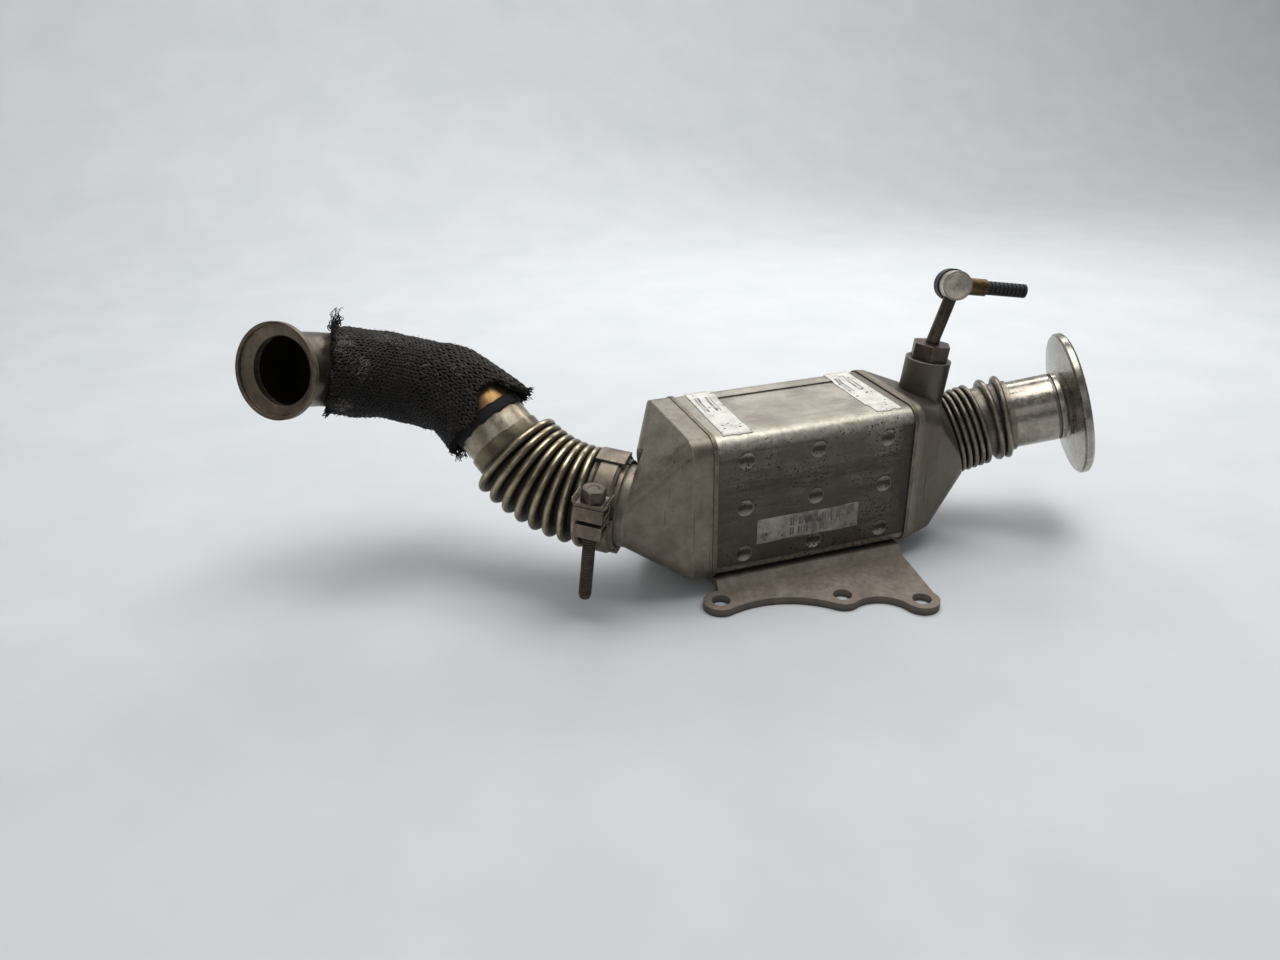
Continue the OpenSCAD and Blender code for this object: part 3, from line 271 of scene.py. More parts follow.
def casing_stains_and_light(tree, place, tone):
    """Dark discs over the dimples, smears along the front, drips along the header seams, a sooty film and
    painted shade on the sides below the top, a dark line round the sunk panel, a painted highlight on what
    looks up, and long edges lightened by wear and by a painted highlight."""
    disc_lift, edge_waver = 1.0, 1.6
    halo_from, halo_full = dimple_radius + 1.3, dimple_radius + 0.1
    belt_height, belt_faint, belt_full = 53.0, 11.0, 1.0
    sooted_end, drip_length = 6.0, 14.0
    seam_from, seam_full = casing_length / 2 + 3, casing_length / 2 + 10
    border_from, border_full = 1.8, 0.3
    lid_from, lid_full = 78.0, 79.0
    parts = add(tree, "SeparateXYZ", {"Vector": place})
    spread = []
    for axis, pitch, middle in (
        ("X", dimple_pitch[0], casing_middle_x), ("Z", dimple_pitch[1], casing_middle_z + disc_lift),
    ):
        low, high = (middle - pitch / 2) * MM, (middle + pitch / 2) * MM
        away = add(tree, "Math", {0: parts.outputs[axis], 1: low, 2: high}, operation="WRAP")
        away = add(tree, "Math", {0: away, 1: middle * MM}, operation="SUBTRACT")
        spread.append(add(tree, "Math", {0: away, 1: 2}, operation="POWER"))
    near = add(tree, "Math", {0: spread[0], 1: spread[1]}, operation="ADD")
    near = add(tree, "Math", {0: near}, operation="SQRT")
    edge_noise = add(tree, "TexNoise", {"Vector": place, "Scale": 1000 / 2.5, "Detail": 3})
    near = add(tree, "Math", {0: edge_noise, 1: edge_waver * MM, 2: near}, operation="MULTIPLY_ADD")
    # Each dimple gets a dark disc with a wavering edge, set a little above its middle.
    tone = stain_or_light(tree, tone, near, halo_from * MM, halo_full * MM, 0.92, "#383029")
    stretched = add(tree, "Mapping", {"Vector": place, "Scale": (1000 / 34, 1000 / 20, 1000 / 5)})
    smear = add(tree, "TexNoise", {"Vector": stretched, "Scale": 1.0, "Detail": 7, "Roughness": 0.7})
    from_belt = apart(tree, parts.outputs["Z"], belt_height * MM)
    belt = add(tree, "MapRange", {
        "Value": from_belt, "From Min": belt_faint * MM, "From Max": belt_full * MM, "To Max": 0.11,
    })
    smear = add(tree, "Math", {0: smear, 1: belt}, operation="ADD")
    tone = stain_or_light(tree, tone, smear, 0.5, 0.68, 0.9, "#4d453b")
    dripping = add(tree, "Mapping", {"Vector": place, "Scale": (1000 / 5, 1000 / 14, 1000 / 30)})
    drip = add(tree, "TexNoise", {"Vector": dripping, "Scale": 1.0, "Detail": 5})
    from_middle = apart(tree, parts.outputs["X"], (casing_middle_x - sooted_end) * MM)
    seam = add(tree, "Math", {0: drip, 1: drip_length * MM, 2: from_middle}, operation="MULTIPLY_ADD")
    tone = stain_or_light(tree, tone, seam, seam_from * MM, seam_full * MM, 0.95, "#3d352d")
    # Painted shade with a sooty film: the sides below the top are darkened, and more so towards the bottom.
    shade_and_film_bands = []
    for begins, full, share in ((78, 70, 0.62), (55, 10, 0.28)):
        shade_and_film_bands.append(add(tree, "MapRange", {
            "Value": parts.outputs["Z"], "From Min": begins * MM, "From Max": full * MM, "To Max": share,
        }))
    shade_and_film = add(tree, "Math", {0: shade_and_film_bands[0], 1: shade_and_film_bands[1]}, operation="ADD")
    tone = add(tree, "Mix", {0: shade_and_film, 6: tone, 7: "#413a32"}, data_type="RGBA")
    past_edge = []
    for axis, (low, high) in zip("XY", top_panel):
        off = apart(tree, parts.outputs[axis], (low + high) / 2 * MM)
        past_edge.append(add(tree, "Math", {0: off, 1: (high - low) / 2 * MM}, operation="SUBTRACT"))
    border = add(tree, "Math", {0: past_edge[0], 1: past_edge[1]}, operation="MAXIMUM")
    border = add(tree, "Math", {0: border}, operation="ABSOLUTE")
    border = add(tree, "MapRange", {
        "Value": border, "From Min": border_from * MM, "From Max": border_full * MM, "To Max": 1.1,
    })
    on_lid = add(tree, "MapRange", {
        "Value": parts.outputs["Z"], "From Min": lid_from * MM, "From Max": lid_full * MM,
    })
    for part in (on_lid, edge_noise):
        border = add(tree, "Math", {0: border, 1: part}, operation="MULTIPLY", use_clamp=True)
    tone = add(tree, "Mix", {0: border, 6: tone, 7: "#51473c"}, data_type="RGBA")
    # Painted highlight: what looks up is lightened, as if lit from above.
    upward = add(tree, "SeparateXYZ", {"Vector": add(tree, "NewGeometry").outputs["Normal"]})
    tone = stain_or_light(tree, tone, upward.outputs["Z"], 0.7, 0.97, 0.16, "#d3ccbf")
    # The long rounded edges are lightened, as wear and as a painted highlight.
    slope = add(tree, "Math", {0: upward.outputs["Y"], 1: upward.outputs["Z"]}, operation="MULTIPLY")
    slope = add(tree, "Math", {0: slope}, operation="ABSOLUTE")
    long_edge = add(tree, "MapRange", {"Value": slope, "From Min": 0.12, "From Max": 0.5, "To Max": 1.3})
    worn_and_highlit = add(tree, "Math", {0: long_edge, 1: edge_noise}, operation="MULTIPLY")
    return add(tree, "Mix", {0: worn_and_highlit, 6: tone, 7: "#d8d0c1"}, data_type="RGBA")


# Drawn stainless sheet, heat-browned: a warm grey satin with dark soot spatter and paler rubbed folds,
# with painted shade below the top and a painted highlight on the top and along the long edges.
casing_steel = aged_metal(
    "heat_browned_stainless_sheet", ("#6c655b", "#868074", "#a39d91"), "#1d1915", patch=24, roughness=0.44,
    metallic=0.8, specks=((0.34, 1.0), (0.56, 0.5)), zones=(0.26, 0.62), on_top=0.45, crevice=3.0,
    rub="#d6cebf", edge=0.5, stains_and_light=casing_stains_and_light,
)
dress(casing_steel, "core_casing")

# Labels: three coated paper stickers, two across the casing's top and one along its front.
# Heat and handling have scuffed them bare, stained them and torn their ends.
label_sheet = 0.12
label_gap = 0.06
top_panel_depth = 0.7
long_edge_radius = 8.0
paper_ramp = 2.5


def smooth_step(value):
    """Rises from 0 to 1 with flat ends."""
    value = np.clip(value, 0, 1)
    return value * value * (3 - 2 * value)


def top_surface(x, y):
    """Height of a sticker on the casing's top: over the sunk panel, and down the rounded front edge."""
    inside = 1.0
    for v, (low, high) in zip((x, y), top_panel):
        inside = inside * smooth_step(np.minimum(v - low, high - v) / paper_ramp)
    over = np.clip(casing_front + long_edge_radius - y, 0, long_edge_radius)
    fall = long_edge_radius - np.sqrt(long_edge_radius**2 - over**2)
    return casing_top - top_panel_depth * inside - fall


def wander(along, seed, size):
    """A smooth uneven line, for torn edges: a few sines whose phases come from the seed."""
    draw = np.random.default_rng(seed)
    waves = draw.uniform(0, 2 * math.pi, 5)
    return size * sum(np.sin((2 * i + 3) * along * math.pi + p) / (i + 1.5) for i, p in enumerate(waves)) / 2


def label_material(name, paper, fields):
    """Coated paper, scuffed: off-white with grey rubbed patches, brown edges and soot dots.
    fields are faded stripes, each from u, v to u, v of the label, with the number of bars along it."""
    made, tree, shader, place = new_material(name)
    flat = add(tree, "TexCoord").outputs["UV"]
    across = add(tree, "SeparateXYZ", {"Vector": flat})
    scuff = add(tree, "TexNoise", {"Vector": place, "Scale": 1000 / 9, "Detail": 7, "Roughness": 0.7})
    tone = add(tree, "ValToRGB", {"Fac": scuff}, stops=[(0.34, paper[0]), (0.6, paper[2]), (0.46, paper[1])])
    for u_from, v_from, u_to, v_to, bars in fields:
        spans = []
        for axis, low, high in (("X", u_from, u_to), ("Y", v_from, v_to)):
            ends = {"Value": across.outputs[axis], "From Min": low, "From Max": high}
            spans.append(add(tree, "MapRange", ends, clamp=False))
        beat = add(tree, "Math", {0: spans[0], 1: bars * 2 * math.pi}, operation="MULTIPLY")
        slow = add(tree, "Math", {0: beat, 1: 0.37}, operation="MULTIPLY")
        waves = [add(tree, "Math", {0: wave}, operation="SINE") for wave in (beat, slow)]
        mixed = add(tree, "Math", {0: waves[0], 1: waves[1]}, operation="ADD")
        bar = add(tree, "MapRange", {"Value": mixed, "From Min": 0.1, "From Max": 0.3})
        for span in spans:
            inside = add(tree, "Math", {0: span, 1: 0.5, 2: 0.5}, operation="COMPARE")
            bar = add(tree, "Math", {0: bar, 1: inside}, operation="MULTIPLY")
        faded = add(tree, "MapRange", {"Value": scuff, "From Min": 0.36, "From Max": 0.56, "To Max": 0.88})
        bar = add(tree, "Math", {0: bar, 1: faded}, operation="MULTIPLY")
        tone = add(tree, "Mix", {0: bar, 6: tone, 7: "#2b2927"}, data_type="RGBA")
    dots = add(tree, "TexVoronoi", {"Vector": place, "Scale": 1000 / 2.6})
    chance = add(tree, "SeparateColor", {"Color": dots.outputs["Color"]})
    size = add(tree, "Math", {0: chance.outputs["Green"], 1: 0.34}, operation="MULTIPLY")
    dot = add(tree, "Math", {0: size, 1: dots}, operation="SUBTRACT")
    tone = stain_or_light(tree, tone, dot, 0.0, 0.05, 0.9, "#2c2824")
    from_middle = [apart(tree, across.outputs[axis], 0.5) for axis in "XY"]
    rim = add(tree, "Math", {0: from_middle[0], 1: from_middle[1]}, operation="MAXIMUM")
    tone = stain_or_light(tree, tone, rim, 0.465, 0.5, 0.6, "#8c8172")
    fibres = add(tree, "TexNoise", {"Vector": place, "Scale": 1000 / 0.8, "Detail": 4})
    relief = add(tree, "Bump", {"Strength": 0.35, "Distance": 0.05 * MM, "Height": fibres})
    feed(tree, shader, {"Base Color": tone, "Normal": relief, "Roughness": 0.55})
    return made


def sticker(name, material, corner, sides, turn, surface, torn, seed):
    """A paper sheet on a surface. corner is its first corner in the surface's own two directions, torn the
    depth to which each of its ends is torn off, and surface(a, b) gives the points in space."""
    columns, rows = 28, 64
    u, v = np.meshgrid(np.linspace(0, 1, columns + 1), np.linspace(0, 1, rows + 1), indexing="ij")
    low = (torn[0] + wander(u, seed, 0.5 + 0.35 * torn[0])) / sides[1]
    high = 1 - (torn[1] * (1 - u) + wander(u, seed + 1, 0.5 + 0.2 * torn[1])) / sides[1]
    side = wander(v, seed + 2, 0.18) / sides[0]
    along = low + v * (high - low)
    a = corner[0] + sides[0] * (u + side * (2 * u - 1)) * math.cos(turn) - sides[1] * along * math.sin(turn)
    b = corner[1] + sides[0] * u * math.sin(turn) + sides[1] * along * math.cos(turn)
    points = np.stack(surface(a, b), axis=-1).reshape(-1, 3)
    line = rows + 1
    faces = [
        (i * line + j, (i + 1) * line + j, (i + 1) * line + j + 1, i * line + j + 1)
        for i in range(columns) for j in range(rows)
    ]
    made = new_piece(name, points, faces, material)
    layer = made.data.uv_layers.new(name="flat")
    flat = np.stack([u, along], axis=-1).reshape(-1, 2)
    corners = np.array([loop.vertex_index for loop in made.data.loops])
    layer.data.foreach_set("uv", flat[corners].ravel())
    made.modifiers.new("paper", "SOLIDIFY").thickness = label_sheet * MM
    made.modifiers["paper"].offset = 1
    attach(made, "root")
    return made


def on_top(x, y):
    """Points a paper's gap above the casing's top."""
    return x, y, top_surface(x, y) + label_gap


def on_front(x, z):
    """Points a paper's gap in front of the casing's front."""
    return x, np.full_like(x, casing_front - label_gap), z


white_paper = ("#bbb6aa", "#d6d2c8", "#e6e3da")
# The front label's paper is greyer than the top ones': soot, with painted shade as on the casing's front.
shaded_grey_paper = ("#4d4943", "#7b766d", "#a09b91")
top_stripes = label_material("scuffed_coated_paper", white_paper, [(0.15, 0.55, 0.85, 0.86, 5)])
front_stripes = label_material(
    "sooted_and_shaded_coated_paper", shaded_grey_paper, [(0.32, 0.52, 0.86, 0.84, 19), (0.32, 0.14, 0.7, 0.44, 14)],
)
# Each label: its first corner, its sides, its turn, its surface, how deep its ends are torn, and its seed.
inlet_turn, outlet_turn, front_turn = -math.radians(2.2) * 0.9, -math.radians(2.2) * 0.1, -0.004
sticker("inlet_end_label", top_stripes, (6.6, 16.2), (14.4, 55.0), inlet_turn, on_top, (0.2, 0.3), 4)
sticker("outlet_end_label", top_stripes, (85.8, 15.0), (13.6, 56.0), outlet_turn, on_top, (1.6, 0.4), 11)
sticker("front_label", front_stripes, (22.6, 23.9), (54.0, 13.0), front_turn, on_front, (0.1, 0.1), 23)


# Header plates, gas tubes and coolant spigots: stainless pressings brazed into the casing's ends and back.
# Only the plates' rims and the spigots show, and dirt sits along every brazed line.
# Stainless rim, brazed: brown-grey and half dull, with dark braze lines.
header_steel = aged_metal(
    "brazed_stainless_rim", ("#5f564a", "#776c5d", "#8f8473"), "#1a1612", patch=12, roughness=0.48,
    metallic=0.75, specks=((0.3, 1.0),), crevice=2.5, rub="#bdb3a2",
)
dress(header_steel, "inlet_header_plate", "outlet_header_plate")
# Stainless tube, sooted: nearly black and flat.
tube_steel = aged_metal(
    "sooted_stainless_tube", ("#2f2b27", "#3d3832", "#4a443d"), "#0d0c0b", patch=10, roughness=0.62,
    metallic=0.5, crevice=6.0, rub="#6a6258",
)
dress(tube_steel, "gas_tubes")
# Stainless tube, drawn: a paler grey satin, little marked.
spigot_steel = aged_metal(
    "drawn_stainless_spigot", ("#7d7466", "#938979", "#a79d8d"), "#2a241e", patch=14, roughness=0.4,
    specks=((0.15, 1.0),), crevice=6.0, rub="#d0c7b7",
)
dress(spigot_steel, "coolant_inlet_spigot", "coolant_outlet_spigot")


# Mounting bracket: mild steel plate, blanked and joggled, welded under the casing.
# It has gone an even brown with a powdery oxide, darker on its cut edge and paler round the bolt holes.
mounts = {mount["name"]: mount for mount in frame["record"]["mounts"]}
hole_places = [mounts[f"bracket_{name}_hole"]["pos_m"] for name in ("datum", "middle", "end")]
plate_thickness = 4.0
hole_radius = 4.5
lobe_radius = 8.4


def bracket_stains(tree, place, tone):
    """Dark cut edges, oil-dark blots, and rings rubbed pale where the bolt heads sat."""
    facing = add(tree, "SeparateXYZ", {"Vector": add(tree, "NewGeometry").outputs["Normal"]})
    tone = stain_or_light(tree, tone, facing.outputs["Z"], 0.5, 0.1, 0.7, "#4b443e")
    ring_waver = 2.4
    ring_from, ring_full = lobe_radius + 0.6, hole_radius + 1.5
    ragged = add(tree, "TexNoise", {"Vector": place, "Scale": 1000 / 3, "Detail": 5})
    for hole in hole_places:
        middle = (hole[0], hole[1], plate_thickness * MM)
        away = add(tree, "VectorMath", {0: place, 1: middle}, operation="DISTANCE")
        ring = add(tree, "Math", {0: ragged, 1: ring_waver * MM, 2: away}, operation="MULTIPLY_ADD")
        tone = stain_or_light(tree, tone, ring, ring_from * MM, ring_full * MM, 0.5, "#93857a")
    blot = add(tree, "TexNoise", {"Vector": place, "Scale": 1000 / 16, "Detail": 4, "Roughness": 0.5})
    return stain_or_light(tree, tone, blot, 0.58, 0.72, 0.3, "#4f443b")


# Oxidised mild steel plate: powdery grey-brown, hardly any gloss, fine pitting.
bracket_steel = aged_metal(
    "oxidised_mild_steel_plate", ("#897c6f", "#998c7f", "#a79b8f"), "#241e19", patch=18, roughness=0.66,
    metallic=0.2, specks=((0.22, 0.8),), rub="#a89c90", grit=0.5, bump=0.05, stains_and_light=bracket_stains,
)
dress(bracket_steel, "mounting_bracket")


# Tanks: two pressed stainless shells, welded to the header plates' rims, with the sensor's boss on one.
# Their flanks carry brown handling streaks and thin scratches; painted shade darkens the outlet's side.
def tank_stains_and_shade(tree, place, tone):
    """Painted shade over the outlet's side, brown streaks that lean along the flanks, a few dark scratches.
    """
    outlet_shade_from, outlet_shade_full = 106.0, 110.0
    streak_lean, scratch_lean = (0, math.radians(28), 0), (0, math.radians(-52), 0)
    parts = add(tree, "SeparateXYZ", {"Vector": place})
    # Painted shade: the outlet's side is darkened.
    tone = stain_or_light(tree, tone, parts.outputs["X"], outlet_shade_from * MM, outlet_shade_full * MM, 0.6, "#4c463e")
    sizes = (1000 / 9, 1000 / 22, 1000 / 36)
    leaning = add(tree, "Mapping", {"Vector": place, "Rotation": streak_lean, "Scale": sizes})
    streak = add(tree, "TexNoise", {"Vector": leaning, "Scale": 1.0, "Detail": 6, "Roughness": 0.66})
    tone = stain_or_light(tree, tone, streak, 0.5, 0.72, 0.55, "#5d4f40")
    sizes = (1000 / 1.1, 1000 / 1.6, 1000 / 34)
    drawn = add(tree, "Mapping", {"Vector": place, "Rotation": scratch_lean, "Scale": sizes})
    scratch = add(tree, "TexNoise", {"Vector": drawn, "Scale": 1.0, "Detail": 2})
    return stain_or_light(tree, tone, scratch, 0.68, 0.74, 0.75, "#332c25")


# Stainless pressing, heat-browned: a warm grey satin, streaked and scratched.
tank_steel = aged_metal(
    "heat_browned_stainless_pressing", ("#756d61", "#877f72", "#989083"), "#211b16", patch=30,
    roughness=0.44, metallic=0.82, specks=((0.26, 0.9), (0.36, 0.45)), zones=(0.3, 0.7), rub="#d2c8b8",
    edge=0.8, stains_and_light=tank_stains_and_shade,
)
dress(tank_steel, "inlet_tank", "outlet_tank", "sensor_boss")


# Clamped joint: two turned flanges with a graphite gasket between them, held by a band of three segments.
# Links of thin sheet are spot-welded over the segments' ends.
# Stainless flange, turned: a browned half gloss with bright rubbed edges.
joint_steel = aged_metal(
    "turned_stainless_flange", ("#6b6253", "#83796a", "#9a9080"), "#1f1a15", patch=10, roughness=0.36,
    metallic=0.9, specks=((0.1, 1.0),), rub="#d5ccbb",
)
dress(joint_steel, "tank_vee_flange", "bellows_vee_flange")
# Graphite, pressed: dark grey flakes with a weak metal gloss.
graphite, tree, shader, place = new_material("pressed_graphite_gasket")
flakes = add(tree, "TexVoronoi", {"Vector": place, "Scale": 1000 / 0.9})
tone = add(tree, "ValToRGB", {"Fac": flakes}, stops=[(0.0, "#3a3a3b"), (0.8, "#1f1f20")])
feed(tree, shader, {"Base Color": tone, "Roughness": 0.6, "Metallic": 0.3})
dress(graphite, "joint_gasket")
# Stainless band, rolled: brown and half dull, with paler edges.
clamp_steel = aged_metal(
    "rolled_stainless_band", ("#655a4d", "#7c7062", "#948878"), "#1b1612", patch=9, roughness=0.45,
    metallic=0.8, specks=((0.25, 0.7),), crevice=3.0, rub="#c5bbaa", edge=0.35,
)
dress(
    clamp_steel, "clamp_upper_segment", "clamp_back_segment", "clamp_lower_segment", "clamp_top_link",
    "clamp_bottom_link", "clamp_trunnion",
)
# Carbon steel, blackened: dark and half dull, rubbed grey on its corners.
nut_steel = aged_metal(
    "blackened_carbon_steel", ("#3a342f", "#4c453f", "#625a52"), "#131110", patch=5, roughness=0.5,
    metallic=0.7, crevice=2.5, rub="#8d8377",
)
dress(nut_steel, "clamp_nut")


# Clamp bolt: a rolled carbon steel screw with a chamfered hexagon head, drawn up through the two loops.
# Its threaded end hangs far below the lower loop.
def move(x, y, z):
    """A frame shifted by x, y, z."""
    made = np.eye(4)
    made[:3, 3] = (x, y, z)
    return made


def turn(axis, degrees):
    """A frame turned about one of its axes."""
    c, s = math.cos(math.radians(degrees)), math.sin(math.radians(degrees))
    first, second = {"x": (1, 2), "y": (2, 0), "z": (0, 1)}[axis]
    made = np.eye(4)
    made[first, first], made[first, second] = c, -s
    made[second, first], made[second, second] = s, c
    return made


def placed(matrix, points):
    """Points of a frame, in the model's frame."""
    return np.asarray(points) @ matrix[:3, :3].T + matrix[:3, 3]


joint_place = (-41.8, 37.0, 46.1)
joint_heading = 145.3
joint_climb = 6.8
joint = move(*joint_place) @ turn("z", joint_heading) @ turn("y", 90 - joint_climb)
bolt_radius = 3.0
bolt_side = 29.3
head_across = 10.0
head_height = 6.0
head_seat = -15.83
tail_end = 35.97
thread_pitch = 1.25
thread_depth = 0.55
turn_steps = 28
bolt_frame = joint @ move(head_seat, bolt_side, 0) @ turn("y", 90)
shank = tail_end - head_seat
rows = int(shank / thread_pitch * turn_steps)
angles = np.arange(rows + 1) * 2 * math.pi / turn_steps
middles = np.arange(rows + 1) * thread_pitch / turn_steps
plain_end, run_out, thread_stop = 0.4, 2.0, 0.3
depth = thread_depth * smooth_step((shank - plain_end - middles) / run_out)
root = bolt_radius - thread_depth
spiral = []
for part, height in ((-0.5, 0.0), (-0.14, 1.0), (0.14, 1.0), (0.5, 0.0)):
    level = np.clip(middles + part * thread_pitch, 0, shank - thread_stop)
    reach = root + depth * height
    spiral.append(np.stack([reach * np.cos(angles), reach * np.sin(angles), level], axis=-1))
bolt_points = np.concatenate(spiral).tolist()
line = rows + 1
bolt_faces = [
    (k * line + i, k * line + i + 1, (k + 1) * line + i + 1, (k + 1) * line + i)
    for k in range(3) for i in range(rows)
]
head_steps = 72
head_turns = np.arange(head_steps) * 2 * math.pi / head_steps
flat_reach = head_across / 2 / np.cos((head_turns + math.pi / 6) % (math.pi / 3) - math.pi / 6)
chamfer_from = head_across / 2 * 0.94
chamfer_fall = (flat_reach - chamfer_from) * math.tan(math.radians(30))
seat_edge = 0.25
dish_rim, dish_radius, dish_depth = 2.6, 2.2, 0.35
centre = 0.01
# Each ring of the head and of the point: its radius and its level along the bolt.
head_rings = [
    (root * 0.9, 0), (flat_reach - seat_edge, 0), (flat_reach, -seat_edge),
    (flat_reach, chamfer_fall - head_height), (chamfer_from, -head_height), (dish_rim, -head_height),
    (dish_radius, dish_depth - head_height), (centre, dish_depth - head_height),
]
end_rings = [(root + 0.05, shank - 0.8), (root - 0.1, shank - 0.25), (root - 0.5, shank), (centre, shank)]
for group in (head_rings, end_rings):
    start = len(bolt_points)
    for reach, level in group:
        ring = [reach * np.cos(head_turns), reach * np.sin(head_turns), np.broadcast_to(level, head_steps)]
        bolt_points += np.stack(ring, axis=-1).tolist()
    for k in range(len(group) - 1):
        a, b = start + k * head_steps, start + (k + 1) * head_steps
        for i in range(head_steps):
            after = (i + 1) % head_steps
            bolt_faces.append((a + i, a + after, b + after, b + i))
# Rolled carbon steel, browned by heat: dull dark flanks and crests rubbed to grey.
bolt_steel = aged_metal(
    "browned_rolled_steel", ("#453c35", "#5b5047", "#74685d"), "#15110f", patch=6, roughness=0.5,
    metallic=0.75, crevice=0.9, rub="#9d9184", edge=0.12, grit=0.4,
)
clamp_screw = new_piece("clamp_screw", placed(bolt_frame, bolt_points), bolt_faces, bolt_steel, smooth=False)
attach(clamp_screw, "root")
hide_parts("clamp_bolt")


# Inlet bellows, pipe and mouth: thin stainless tube, hydroformed into round folds, then bent and flared.
# Exhaust heat has tinted it from straw on the folds to gold under the sleeve and brown at the mouth.
fold_count = 8
fold_width = 3.9
fold_link = 2.0
fold_angle = 4.8
fold_roll = 201.6
fold_crest = 24.2
flange_hub = 7.946
cuff_length = 20.0
pipe_radius = 17.5
bend_radius = 45.0
first_bend, first_roll = 37.5, 9.5
middle_length = 4.0
second_bend, second_roll = 90.5, 103.0


def bend(degrees, radius, roll):
    """A frame carried round a bend of the pipe."""
    out, back = move(radius, 0, 0), move(-radius, 0, 0)
    return turn("z", roll) @ out @ turn("y", degrees) @ back @ turn("z", -roll)


pipe_start = joint @ move(0, 0, flange_hub)
for i in range(fold_count):
    link_radius = fold_link / math.radians(fold_angle)
    pipe_start = pipe_start @ move(0, 0, fold_width) @ bend(fold_angle, link_radius, fold_roll)
bend_one = pipe_start @ move(0, 0, cuff_length)
bend_two = bend_one @ bend(first_bend, bend_radius, first_roll) @ move(0, 0, middle_length)
mouth_start = bend_two @ bend(second_bend, bend_radius, second_roll)
tear_middle = 158.0
torn_place = placed(bend_one @ turn("z", tear_middle), (pipe_radius, 0, 6.0))


def tint_near(tree, place, tone, point, near, far, shade, share):
    """Lays a heat tint round a point, full within near millimetres and gone at far, with an uneven edge."""
    away = add(tree, "VectorMath", {0: place, 1: tuple(float(v) * MM for v in point)}, operation="DISTANCE")
    uneven = add(tree, "TexNoise", {"Vector": place, "Scale": 1000 / 8, "Detail": 5})
    away = add(tree, "Math", {0: uneven, 1: (far - near) * MM, 2: away}, operation="MULTIPLY_ADD")
    shift = (far - near) / 2
    return stain_or_light(tree, tone, away, (far + shift) * MM, (near + shift) * MM, share, shade)


def fold_highlight_and_shade(tree, place, tone):
    """Painted highlights along thin lines on the crests and painted shade down the flanks, by the distance
    from the bellows' bent axis.
    """
    waver = 0.5
    flank_shade_from, flank_shade_full = fold_crest - 0.1, fold_crest - 2.2
    crest_from, crest_full = fold_crest + 0.1, fold_crest + 0.3
    pitch = fold_width + fold_link
    axis_radius = pitch / math.radians(fold_angle)
    arc_begins = flange_hub + (fold_width + fold_link / 2) - pitch / 2
    arc_from = joint @ move(0, 0, arc_begins) @ turn("z", fold_roll)
    middle = tuple(float(v) * MM for v in placed(arc_from, (axis_radius, 0, 0)))
    hinge = tuple(float(v) for v in arc_from[:3, 1])
    folds_end = tuple(float(v) * MM for v in pipe_start[:3, 3])
    onward = tuple(float(v) for v in pipe_start[:3, 2])
    beside = add(tree, "VectorMath", {0: place, 1: middle}, operation="SUBTRACT")
    lifted = add(tree, "VectorMath", {0: beside, 1: hinge}, operation="PROJECT")
    level = add(tree, "VectorMath", {0: beside, 1: lifted}, operation="SUBTRACT")
    level = add(tree, "VectorMath", {0: level}, operation="NORMALIZE")
    to_axis = (-axis_radius * MM,) * 3
    off_axis = add(tree, "VectorMath", {0: level, 1: to_axis, 2: beside}, operation="MULTIPLY_ADD")
    reach = add(tree, "VectorMath", {0: off_axis}, operation="LENGTH")
    uneven = add(tree, "TexNoise", {"Vector": place, "Scale": 1000 / 6, "Detail": 5})
    reach = add(tree, "Math", {0: uneven, 1: waver * MM, 2: reach}, operation="MULTIPLY_ADD")
    # Painted shade: each flank below the crest is darkened, over the folds only.
    flank_shade = add(tree, "MapRange", {
        "Value": reach, "From Min": flank_shade_from * MM, "From Max": flank_shade_full * MM, "To Max": 0.9,
    })
    past_folds = add(tree, "VectorMath", {0: place, 1: folds_end}, operation="SUBTRACT")
    past_folds = add(tree, "VectorMath", {0: past_folds, 1: onward}, operation="DOT_PRODUCT")
    folded = add(tree, "MapRange", {"Value": past_folds, "From Min": 0.0, "From Max": -fold_link / 2 * MM})
    flank_shade = add(tree, "Math", {0: flank_shade, 1: folded}, operation="MULTIPLY")
    tone = add(tree, "Mix", {0: flank_shade, 6: tone, 7: "#453a2b"}, data_type="RGBA")
    # Painted highlight: a thin bright line along each crest.
    return stain_or_light(tree, tone, reach, crest_from * MM, crest_full * MM, 0.7, "#cbbd9f")


def pipe_stains(tree, place, tone):
    """Gold where the sleeve has torn open, brown towards the mouth."""
    tone = tint_near(tree, place, tone, torn_place, 8, 13, "#8f6d37", 0.85)
    return tint_near(tree, place, tone, mouth_start[:3, 3], 20, 34, "#43382e", 0.85)


# Hydroformed stainless, heat-tinted: bronze-grey satin with a painted highlight along each crest,
# and painted shade with some grime down each flank and in each root.
fold_steel = aged_metal(
    "heat_tinted_stainless_folds", ("#6f6451", "#877a63", "#9f9178"), "#241d15", patch=16, roughness=0.3,
    metallic=0.95, specks=((0.12, 0.7),), crevice=7.0, shelter=(0.9, 0.5), rub="#d8cdb9", grit=0.5,
    bump=0.015, stains_and_light=fold_highlight_and_shade,
)
dress(fold_steel, "inlet_bellows")
# Stainless tube, heat-tinted: pale straw with gold and brown zones.
pipe_steel = aged_metal(
    "heat_tinted_stainless_tube", ("#968b78", "#aea38e", "#c4baa6"), "#2b2219", patch=14, roughness=0.34,
    metallic=0.92, specks=((0.25, 0.7),), crevice=5.0, rub="#d2c8b4", bump=0.02, stains_and_light=pipe_stains,
)
dress(pipe_steel, "inlet_pipe")
